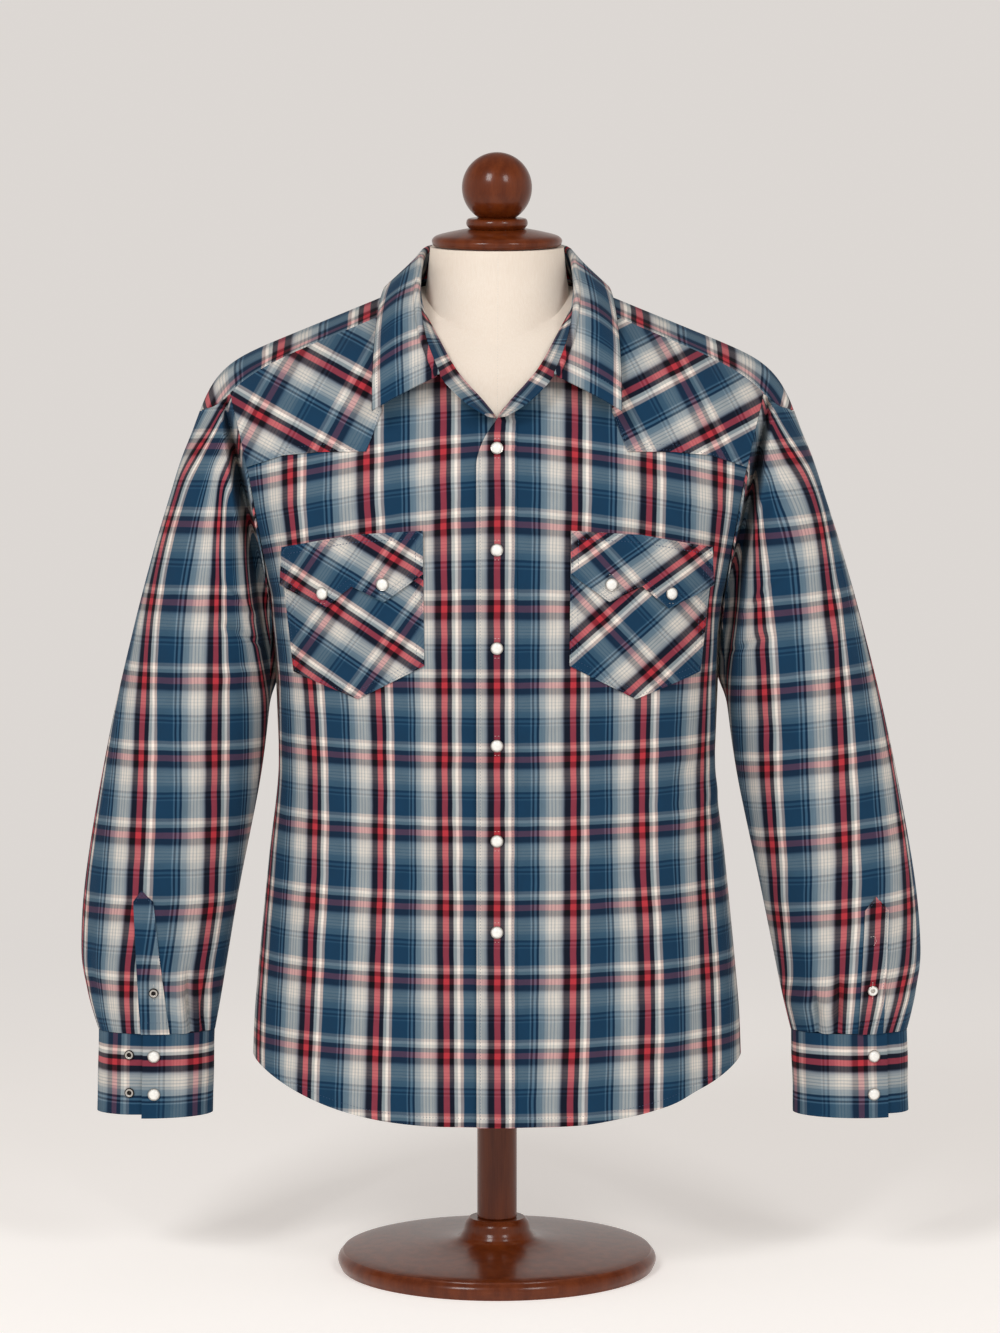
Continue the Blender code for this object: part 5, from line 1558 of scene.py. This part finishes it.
def striped(points, cloth, word):
    """The cloth coordinates, drawn together across so that the red stripes run where they hang."""
    cloth = cloth.copy()
    for row, along in zip(points, cloth):
        height = min(max(row[:, 2].mean(), 0.189), 0.731)
        lines = [float(smooth([r[0] for r in STRIPE_LINES[word]],
                              [r[k] for r in STRIPE_LINES[word]], height)) for k in (1, 2, 3)]
        places = [float(np.interp(x, row[:, 0], along[:, 0])) for x in lines]
        places = [places[0] - 0.5, places[0] - 0.03] + places + [places[2] + 0.03, places[2] + 0.5]
        wanted = [-0.5, -0.03] + [k * WARP_REPEAT for k in range(3)]
        wanted += [wanted[-1] + 0.03, wanted[-1] + 0.5]
        along[:, 0] = smooth(places, wanted, along[:, 0])
    return cloth


def front_sheet(word, cell):
    """The grid of one front with its creases, and its cloth coordinates, in metres."""
    side = -1 if word == "right" else 1

    def surface(across, up):
        return front(across, up, side)
    up = rows_of(surface, 0.45, 0, 1, cell)[:, None]
    roll = np.clip((up - 0.74) / (FRONT_NECK - 0.74), 0, 1)
    start = across_at(-CENTRE_REACH * (1 - roll**1.7), up)
    height = cloth_height(surface, 0.45)
    points, across, up = evened(surface, start, 1.0, up, max(12, round(0.27 / cell)))
    cloth = joined((from_centre(points, across), height(points, up)))
    cloth[..., 0] += np.abs(points[:, :1, 0]) * (np.abs(across[:, :1]) < 1e-6)
    lift = creased(points, CREASES[f"front_{word}"], side)[..., None]
    return points + lift * grid_normals(points), cloth


def upper_rows(low_line, high, count):
    share = np.linspace(0, 1, count)[:, None]
    return low_line + (high - low_line) * share


def back_sheets(cell):
    """The whole back, as seen from behind, and the wearer's left half of its yoke."""
    height = cloth_height(back, 0.3)
    columns = max(24, round(0.52 / cell)) | 1
    low = rows_of(back, 0.3, 0, ARMPIT, cell)[:, None]
    spots = np.linspace(1, -1, 300)
    high = upper_rows(ARMPIT, yoke_line(np.abs(spots)), round(0.17 / cell))[1:]
    points, across, up = evened(back, 1.0, -1.0, np.concatenate([low + 0 * spots, high]), columns)
    cloth = joined((from_centre(points, across), height(points, up)))
    fade = eased((yoke_line(np.abs(across)) - up) / 0.05)
    lift = (creased(points, CREASES["back"]) * fade)[..., None]
    whole = (points + lift * grid_normals(points), cloth)

    spots = np.linspace(1, 0, 300)
    neck = rows_of(back, 0.3, BACK_NECK, 1, cell)[1:, None]
    up = np.concatenate([upper_rows(yoke_line(spots), BACK_NECK, round(0.16 / cell)), neck + 0 * spots])
    points, across, up = evened(back, 1.0, 0.0, up, columns // 2 + 1)
    run = row_lengths(points)
    width = run - run[:, -1:] - points[:, -1:, 0]
    return whole, (points, joined((width, height(points, up))))


class SHIRT_OT_fronts(bpy.types.Operator):
    """Both fronts and the snap band that lies on the left one"""

    bl_idname = "shirt.fronts"
    bl_label = "Fronts and Snap Band"

    def execute(self, context):
        settings = context.scene.shirt_settings
        for word, side in SIDES:
            points, cloth = front_sheet(word, settings.cell)
            edge = drawn_in(points, SEAM_IN, top=True, right=True)
            hung = striped(points, cloth, word)
            size = [float(extent) for extent in np.ptp(cloth.reshape(-1, 2), axis=0)]
            sewn(f"front_{word}_panel", sheet_mesh("front", edge, hung, side), settings.wall, size=size)
            if side > 0:
                lay = drawn_in(lifted(points, settings.lay), LAY_IN, top=True)
                band = sheet_mesh("band", lay, cloth, side)
                corners = ((-0.1, 0.1), (BAND_EDGE, 0.1), (BAND_EDGE, 0.9), (-0.1, 0.9))
                sewn("front_band_strip", cropped(band, corners), settings.wall)
        return {"FINISHED"}


class SHIRT_OT_yokes_and_pockets(bpy.types.Operator):
    """The pointed front yokes, the bias pockets and their flaps"""

    bl_idname = "shirt.yokes_and_pockets"
    bl_label = "Front Yokes and Pockets"

    def execute(self, context):
        settings = context.scene.shirt_settings
        pieces = (("yoke", YOKE_CORNERS, 1), ("pocket", POCKET_CORNERS, 1),
                  ("pocket_flap", FLAP_CORNERS, 2.7))
        for word, side in SIDES:
            points, cloth = front_sheet(word, settings.cell * 0.75)
            for name, corners, layer in pieces:
                lay = lifted(points, layer * settings.lay)
                lay = drawn_in(lay, LAY_IN, top=True, right=True)
                grid = cropped(sheet_mesh(name, lay, cloth, side), corners, side)
                sewn(f"{name}_{word}_cut", grid, settings.wall)
        return {"FINISHED"}


class SHIRT_OT_back(bpy.types.Operator):
    """The back, and the back yoke that runs over both shoulders"""

    bl_idname = "shirt.back"
    bl_label = "Back and Back Yoke"

    def execute(self, context):
        settings = context.scene.shirt_settings
        (points, cloth), (yoke, yoke_cloth) = back_sheets(settings.cell)
        points = drawn_in(points, SEAM_IN, top=True, left=True, right=True)
        sewn("back_panel", sheet_mesh("back", points, cloth), settings.wall)
        yoke = drawn_in(yoke, SEAM_IN, bottom=True, top=True, left=True)
        sewn("back_yoke_panel", joined_halves("back_yoke", yoke, yoke_cloth), settings.wall)
        return {"FINISHED"}


class SHIRT_OT_collar(bpy.types.Operator):
    """The collar's stand and its pointed leaf"""

    bl_idname = "shirt.collar"
    bl_label = "Collar"

    def execute(self, context):
        points, cloth = collar_stand_sheet()
        sewn("collar_stand_band", sheet_mesh("stand", points, cloth), CLOTH)
        points, cloth = collar_leaf_sheet()
        # The leaf is cut along its length, so the warp follows its outer edge.
        left, right = leaf_anchor(points, cloth, 1), leaf_anchor(points, cloth, -1)
        repeats = round((left - right) / WEFT_REPEAT)
        cloth = cloth.copy()
        cloth[..., 1] = (cloth[..., 1] - right) * repeats * WEFT_REPEAT / (left - right)
        cloth[..., 0] = cloth[..., 0] + 0.0065
        sewn("collar_leaf_fall", sheet_mesh("leaf", points, cloth), CLOTH)
        return {"FINISHED"}


def leaf_anchor(points, cloth, side):
    """How far along the leaf its last red weft stripe crosses, on the wearer's left (1) or right."""
    x, z = (0.084, 0.8422) if side > 0 else (-0.083, 0.8597)
    off = np.hypot(points[..., 0] - x, points[..., 2] - z) + (points[..., 1] > 0)
    return float(cloth[..., 1].reshape(-1)[off.argmin()])


class SHIRT_OT_sleeves(bpy.types.Operator):
    """Both sleeves, with their fold beside the armhole, and their plackets"""

    bl_idname = "shirt.sleeves"
    bl_label = "Sleeves and Plackets"

    def execute(self, context):
        settings = context.scene.shirt_settings
        for word, side in SIDES:
            points, cloth = sleeve_sheet(word)
            grid = sheet_mesh("sleeve", points, cloth, side, closed=True)
            sewn(f"sleeve_{word}_tube", grid, settings.wall,
                 sleeve_pattern(points), even=False)
            ahead = slice(0, points.shape[1] // 2 + 8)
            low = lifted(points, settings.lay, closed=True)[:66, ahead]
            grid = cropped(sheet_mesh("placket", low, cloth[:66, ahead], side),
                           PLACKET_CORNERS[word], side)
            sewn(f"sleeve_placket_{word}_strip", grid, settings.wall)
        return {"FINISHED"}


class SHIRT_OT_cuffs(bpy.types.Operator):
    """Both cuffs, cut crosswise, each lapping over its own end"""

    bl_idname = "shirt.cuffs"
    bl_label = "Cuffs"

    def execute(self, context):
        for word, side in SIDES:
            points, cloth = cuff_sheet(word)
            grid = sheet_mesh("cuff", points, cloth, side)
            sewn(f"cuff_{word}_band", grid, CLOTH)
        return {"FINISHED"}


class SHIRT_OT_stitching(bpy.types.Operator):
    """All topstitching, laid on the finished pieces"""

    bl_idname = "shirt.stitching"
    bl_label = "Topstitching"

    def execute(self, context):
        pitch = context.scene.shirt_settings.stitch
        fronts = ["front_left_panel", "front_right_panel", "front_band_strip", "collar_leaf_fall"]
        fronts += [f"{n}_{w}_cut" for n in ("yoke", "pocket", "pocket_flap") for w in ("left", "right")]
        tree = surface_of(fronts)
        for word, side in SIDES:
            made = []
            for corners, inwards in (
                    (POCKET_CORNERS, EDGE_STITCH), (POCKET_CORNERS, POCKET_STITCH),
                    (FLAP_CORNERS, EDGE_STITCH), (FLAP_CORNERS, SECOND_STITCH)):
                path = inset_path([(side * x, z) for x, z in corners], inwards)
                made += row_of_stitches(tree, path, pitch)
            lower = [(side * x, z) for x, z in YOKE_CORNERS[:5]]
            for inwards in (EDGE_STITCH, SECOND_STITCH):
                made += row_of_stitches(tree, [(x, z + inwards) for x, z in lower], pitch)
            stitch_mesh(f"stitches_front_{word}", made)
        made = []
        for x in (BAND_EDGE - BAND_STITCH, -CENTRE_REACH + BAND_STITCH):
            made += row_of_stitches(tree, [(x, 0.160), (x, 0.775)], pitch)
        stitch_mesh("stitches_band", made)
        self.hem(tree, pitch)
        self.collar_and_cuffs(pitch)
        self.back(pitch)
        return {"FINISHED"}

    def hem(self, tree, pitch):
        """Round the shirt tails, a little above their edge."""
        made = []
        for surface, way in ((front, 1), (back, -1)):
            across = np.linspace(-0.97, 0.97, 300)
            edge = surface(across, 0 * across + 0.016)
            path = [(p[0], p[2]) for p in edge]
            names = tree if way > 0 else surface_of(["back_panel"])
            made += row_of_stitches(names, path, pitch, way)
        stitch_mesh("stitches_hem", made)

    def collar_and_cuffs(self, pitch):
        points, cloth = collar_leaf_sheet()
        normals = grid_normals(points)
        outward = np.sign(dot(normals[-6], points[-6] - np.array((0, -0.02, 0.86))))
        out = normals[-6] * outward
        line = out * CLOTH / 2 + [spots_at(LEAF_STITCH, cloth[::-1, j, 0], points[::-1, j])
                                  for j in range(points.shape[1])]
        made = points_of_stitches(line[3:-3], out[3:-3], pitch)
        for end, step in ((0, 1), (-1, -1)):
            column = points[:, end + 3 * step]
            normal = normals[:, end + 3 * step] * outward[end]
            low = int(len(column) * 0.48)
            made += points_of_stitches(column[low:-4] + normal[low:-4] * CLOTH / 2, normal[low:-4], pitch)
        stitch_mesh("stitches_collar", made)
        for word, side in SIDES:
            points, cloth = cuff_sheet(word)
            normals = grid_normals(points)
            made = []
            rise = cloth[:, 0, 1]
            for level in (CUFF_BOTTOM + CUFF_STITCH, CUFF_TOP - CUFF_GAP - CUFF_STITCH):
                row = np.array([spots_at(level, rise, points[:, j])
                                for j in range(points.shape[1])])
                out = normals[len(normals) // 2]
                line = (row + out * CLOTH / 2) * (side, 1, 1)
                made += points_of_stitches(line[2:], out[2:] * (side, 1, 1), pitch)
            stitch_mesh(f"stitches_cuff_{word}", made)
            tree = surface_of([f"sleeve_placket_{word}_strip"])
            path = inset_path([(side * x, max(z, 0.236)) for x, z in PLACKET_CORNERS[word]], EDGE_STITCH)
            made = row_of_stitches(tree, path[:5], pitch)
            stitch_mesh(f"stitches_placket_{word}", made)

    def back(self, pitch):
        """Above the back yoke's seam and along the forward shoulder seams."""
        spots = np.linspace(0.985, -0.985, 500)
        line = yoke_line(np.abs(spots))
        made = []
        for rise in (0.004, 0.012):
            points = back(spots, line + rise)
            step = back(spots, line + rise + 0.01)
            out = unit(np.cross(np.gradient(points, axis=0), step - points))
            made += points_of_stitches(points + out * WALL / 2, out, pitch)
        stitch_mesh("stitches_back_yoke", made)
        made = []
        for side in (1, -1):
            across = np.linspace(0.04, 0.97, 120)
            points, inner = back(across, 0 * across + 0.996), back(across, 0 * across + 0.985)
            out = unit(np.cross(np.gradient(points, axis=0), points - inner))
            out = out * np.sign(out[:, 2:3])
            made += points_of_stitches((points + out * WALL / 2) * (side, 1, 1),
                                       out * (side, 1, 1), pitch)
        stitch_mesh("stitches_shoulders", made)


class SHIRT_OT_snaps(bpy.types.Operator):
    """Pearl snaps, small metal sockets and the open studs beside the right cuff's lap"""

    bl_idname = "shirt.snaps"
    bl_label = "Snaps"

    def execute(self, context):
        settings = context.scene.shirt_settings
        pearl_model = self.pearl_cap(settings.snap_radius)
        socket_model = self.socket(settings.socket_radius, "nickel", "dark_nickel")
        pearl_ring_model = self.socket(1.08 * settings.socket_radius, "pearl", "nickel")
        tree = surface_of(["front_band_strip"] + [f"pocket_flap_{w}_cut" for w in ("left", "right")])
        places = [(f"front_snap_{n}", 0.0, z) for n, z in enumerate(FRONT_SNAP_HEIGHTS, 1)]
        for word, side in SIDES:
            places += [(f"pocket_snap_{word}_{n}", side * x, z)
                       for n, (x, z) in enumerate(POCKET_SNAPS, 1)]
        ticks = []
        for node, x, z in places:
            self.one(pearl_model, node, tree, x, z, "snap_pearl")
            for at in (z + SNAP_TICK[0], z - SNAP_TICK[0]):
                ticks += row_of_stitches(tree, [(x - SNAP_TICK[1], at), (x + SNAP_TICK[1], at)], 0.0029)
        for word, side in SIDES:
            cuff = surface_of([f"cuff_{word}_band"])
            for n, z in enumerate(CUFF_SNAP_HEIGHTS, 1):
                self.one(pearl_model, f"cuff_snap_{word}_{n}", cuff, side * CUFF_SNAPS[word], z,
                         "snap_pearl")
                if side < 0:
                    self.one(socket_model, f"cuff_post_{n}", cuff, side * POST_X, z + 0.001,
                             "snap_metal")
            placket = surface_of([f"sleeve_placket_{word}_strip"])
            x, z = PLACKET_SNAPS[word]
            model = socket_model if side < 0 else pearl_ring_model
            self.one(model, f"sleeve_snap_{word}", placket, side * x, z, "snap_metal")
            for at in (z + PLACKET_TICK[0], z - PLACKET_TICK[0]):
                ticks += row_of_stitches(placket, [(side * x, at - PLACKET_TICK[1]),
                                                   (side * x, at + PLACKET_TICK[1])], 0.0015)
            if side > 0:
                ticks += row_of_stitches(placket, LEFT_PLACKET_TACK, 0.0021)
        stitch_mesh("stitches_snaps", ticks, "pale_thread")
        for model in (pearl_model, socket_model, pearl_ring_model):
            bpy.data.objects.remove(model)
        return {"FINISHED"}

    def one(self, model, node, tree, x, z, slot_name):
        """Presses one snap on, where x and z meet the cloth."""
        here = met(tree, x, z)
        if here is None:
            raise RuntimeError(f"no cloth under {node}")
        spot, normal = here
        made = add_object(f"{node}_cap", model.data.copy())
        made.data.name = made.name
        put_at(made, spot + normal * SEAT, normal)
        added(made, slot_name, node)

    def pearl_cap(self, radius):
        """A pearl dome in a nickel rim."""
        made = turned("pearl_cap_model", [(share * radius, up) for share, up in PEARL_CAP], 28)
        return two_toned(made, "pearl", "nickel",
                         lambda out, up: out > 0.84 * radius or up < 0.0005)

    def socket(self, radius, ring, hollow):
        """A ring round a darker hollow with its spring."""
        made = turned("socket_model", [(share * radius, up) for share, up in SOCKET], 24)
        return two_toned(made, ring, hollow,
                         lambda out, up: out > 0.72 * radius or abs(up - 0.0008) < 0.0003)


# The form, its woodwork and the stage.

class SHIRT_OT_form(bpy.types.Operator):
    """The limbless torso under the shirt, with its neck"""

    bl_idname = "shirt.form"
    bl_label = "Dress Form"

    def execute(self, context):
        body = cloth_object("form_body", self.block())
        neck = cloth_object("form_neck", self.neck())
        union = body.modifiers.new("neck", "BOOLEAN")
        union.operation, union.solver, union.object = "UNION", "EXACT", neck
        select_only(body)
        bpy.ops.object.modifier_apply(modifier="neck")
        bpy.data.objects.remove(neck)
        body.name = body.data.name = "form_torso"
        painted(body, "linen")
        select_only(body)
        bpy.ops.object.shade_smooth_by_angle(angle=SOFT_ANGLE)
        added(body, "form_linen", "torso_form")
        self.seam(body)
        return {"FINISHED"}

    def block(self):
        """The body, from its foot over the shoulders and down the back."""
        halves = []
        for insets, surface in ((FRONT_INSET, front), (BACK_INSET, back)):
            rows = rows_of(surface, 0.45, 0.32, 1, 0.012)
            rows = np.interp(np.linspace(0, 1, 58), np.linspace(0, 1, len(rows)), rows)
            halves.append((rows, form_rows(rows, insets, surface)))
        (rows, ahead), (rows_behind, behind) = halves
        for i, up in enumerate(rows):
            if up <= ARMPIT:
                ahead[i, -1] = (ahead[i, -1] + spots_at(up, rows_behind, behind[:, -1])) / 2
        for i, up in enumerate(rows_behind):
            if up <= ARMPIT:
                behind[i, -1] = spots_at(up, rows, ahead[:, -1])
        ahead[-1] = behind[-1] = (ahead[-1] + behind[-1]) / 2
        sheets = []
        for half in (ahead, behind):
            half[:, 0, 0] = np.where(half[:, 0, 0] < 0.002, 0, half[:, 0, 0])
            foot = np.array([half[0] * (spread, spread, 0) + (0, 0, z) for z, spread in FORM_FOOT])
            sheets.append(np.concatenate([foot, half]))
        sheet = np.concatenate([sheets[0], sheets[1][-2::-1]])
        both = np.concatenate([sheet[:, ::-1] * np.array((-1, 1, 1)), sheet], axis=1)
        return closed_up(sheet_mesh("block", both, both[..., :2]))

    def neck(self):
        turns = np.linspace(0, 2 * math.pi, 97)
        table = [tuple(r) for r in zip(*NECK_RINGS)]
        heights = np.linspace(table[0][0], table[0][-1], 40)
        middle, half_width, half_depth = (smooth(table[0], c, heights) for c in table[1:])
        rows = []
        for z, m, w, d in zip(heights, middle, half_width, half_depth):
            tilt = NECK_TILT * eased((z - NECK_RINGS[3][0]) / (NECK_RINGS[-1][0] - NECK_RINGS[3][0]))
            depth = d * np.sin(turns)
            rows.append(joined((w * np.cos(turns), m + depth * math.cos(tilt),
                                z + depth * math.sin(tilt))))
        points = np.array(rows)
        return closed_up(sheet_mesh("neck", points, points[..., :2], closed=True))

    def seam(self, body):
        """The cover's centre seam, as a close row of stitches down the front of the neck."""
        tree = surface_of([body.name])
        made = row_of_stitches(tree, [(0.0010, 0.945), (0.0006, 0.800)], 0.0024)
        seam = stitch_mesh("stitches_form_seam", made, "pale_thread", half=0.0010, thick=0.00022)


def arc(middle, radius, low, high, steps):
    """Profile points on a circle round a place on the axis, by the angle up from level."""
    angles = np.radians(np.linspace(low, high, steps))
    return [(radius * math.cos(a), middle + radius * math.sin(a)) for a in angles]


class SHIRT_OT_woodwork(bpy.types.Operator):
    """The neck's turned cap, its ball finial, the pole and the base"""

    bl_idname = "shirt.woodwork"
    bl_label = "Woodwork"

    def execute(self, context):
        sides = context.scene.stand_settings.sides
        axis = np.array(on_neck(1)) - np.array(on_neck(0))
        cap = finer(np.array(CAP_PROFILE), 4).tolist() + [(0.004, CAP_PROFILE[-1][1])]
        self.piece("neck_cap_turned", cap, sides, on_neck(SEAT), axis, "neck_cap")
        low = math.degrees(math.asin((RING_PROFILE[-1][1] + 0.0008 - BALL_HEIGHT) / BALL_RADIUS))
        ball = finer(np.array(RING_PROFILE), 3).tolist() + arc(BALL_HEIGHT, BALL_RADIUS, low, 88, 40)
        self.piece("finial_turned", ball, sides, on_neck(2 * SEAT), axis, "finial")
        foot, top = BASE_PROFILE[-1][1] + SEAT, FORM_FOOT[0][0] - SEAT
        r = POLE_RADIUS
        pole = ((0.96 * r, foot), (r, foot + 0.0008), (r, foot + 0.05), (r, (foot + top) / 2),
                (r, top - 0.0008), (0.96 * r, top))
        self.piece("pole_turned", pole, sides, (0, 0, 0), (0, 0, 1), "pole")
        base = finer(np.array(BASE_PROFILE), 4).tolist()
        self.piece("base_turned", base, sides + 24, (0, 0, 0), (0, 0, 1), "base")
        return {"FINISHED"}

    def piece(self, name, profile, sides, spot, axis, node):
        made = turned(name, profile, sides, spot, axis)
        painted(made, "wood")
        added(made, "stained_wood", node)


class SHIRT_OT_stage(bpy.types.Operator):
    """A plain floor, soft light and the camera"""

    bl_idname = "shirt.stage"
    bl_label = "Stage"

    def execute(self, context):
        settings = context.scene.stand_settings
        bpy.ops.object.select_all(action="DESELECT")
        bpy.ops.mesh.primitive_circle_add(vertices=96, radius=settings.floor_radius, fill_type="NGON")
        floor = context.object
        floor.name = floor.data.name = "studio_floor"
        painted(floor, "floor")
        context.scene.world = soft_air(settings.air)
        context.scene.view_settings.view_transform = "Standard"
        for name, place, size, power in LAMPS:
            data = bpy.data.lights.new(name, "AREA")
            data.shape, data.size, data.size_y, data.energy = "RECTANGLE", size[0], size[1], power
            self.aimed(add_object(name, data), place)
        data = bpy.data.cameras.new("camera")
        data.sensor_fit, data.sensor_width, data.lens = "AUTO", 36.0, LENS
        data.clip_end = 60
        height, away = settings.camera_height, settings.camera_distance
        place = Vector(MIDDLE) + Vector((0, -away * math.cos(height), away * math.sin(height)))
        context.scene.camera = self.aimed(add_object("camera", data), place)
        return {"FINISHED"}

    def aimed(self, obj, place):
        """Puts a lamp or the camera in its place, looking at the middle."""
        obj.location = place
        obj.rotation_euler = (Vector(MIDDLE) - obj.location).to_track_quat("-Z", "Y").to_euler()
        return obj


STEPS = (
    SHIRT_OT_fronts, SHIRT_OT_yokes_and_pockets, SHIRT_OT_back, SHIRT_OT_collar,
    SHIRT_OT_sleeves, SHIRT_OT_cuffs, SHIRT_OT_stitching, SHIRT_OT_snaps, SHIRT_OT_form,
    SHIRT_OT_woodwork, SHIRT_OT_stage,
)


class SHIRT_PT_panel(bpy.types.Panel):
    """Settings and steps, in the order that they run"""

    bl_label = "Western Snap Shirt"
    bl_idname = "SHIRT_PT_panel"
    bl_space_type = "VIEW_3D"
    bl_region_type = "UI"
    bl_category = "Shirt"

    def draw(self, context):
        for settings in (context.scene.shirt_settings, context.scene.stand_settings):
            box = self.layout.box()
            for label in settings.bl_rna.properties.keys():
                if label not in ("rna_type", "name"):
                    box.prop(settings, label)
        column = self.layout.column(align=True)
        for step in STEPS:
            column.operator(step.bl_idname)


CLASSES = (ShirtSettings, StandSettings) + STEPS + (SHIRT_PT_panel,)


def register():
    for made in CLASSES:
        bpy.utils.register_class(made)
    bpy.types.Scene.shirt_settings = PointerProperty(type=ShirtSettings)
    bpy.types.Scene.stand_settings = PointerProperty(type=StandSettings)


def unregister():
    del bpy.types.Scene.stand_settings
    del bpy.types.Scene.shirt_settings
    for made in reversed(CLASSES):
        bpy.utils.unregister_class(made)


def main():
    register()
    for step in STEPS:
        family, name = step.bl_idname.split(".")
        getattr(getattr(bpy.ops, family), name)()


if __name__ == "__main__":
    main()
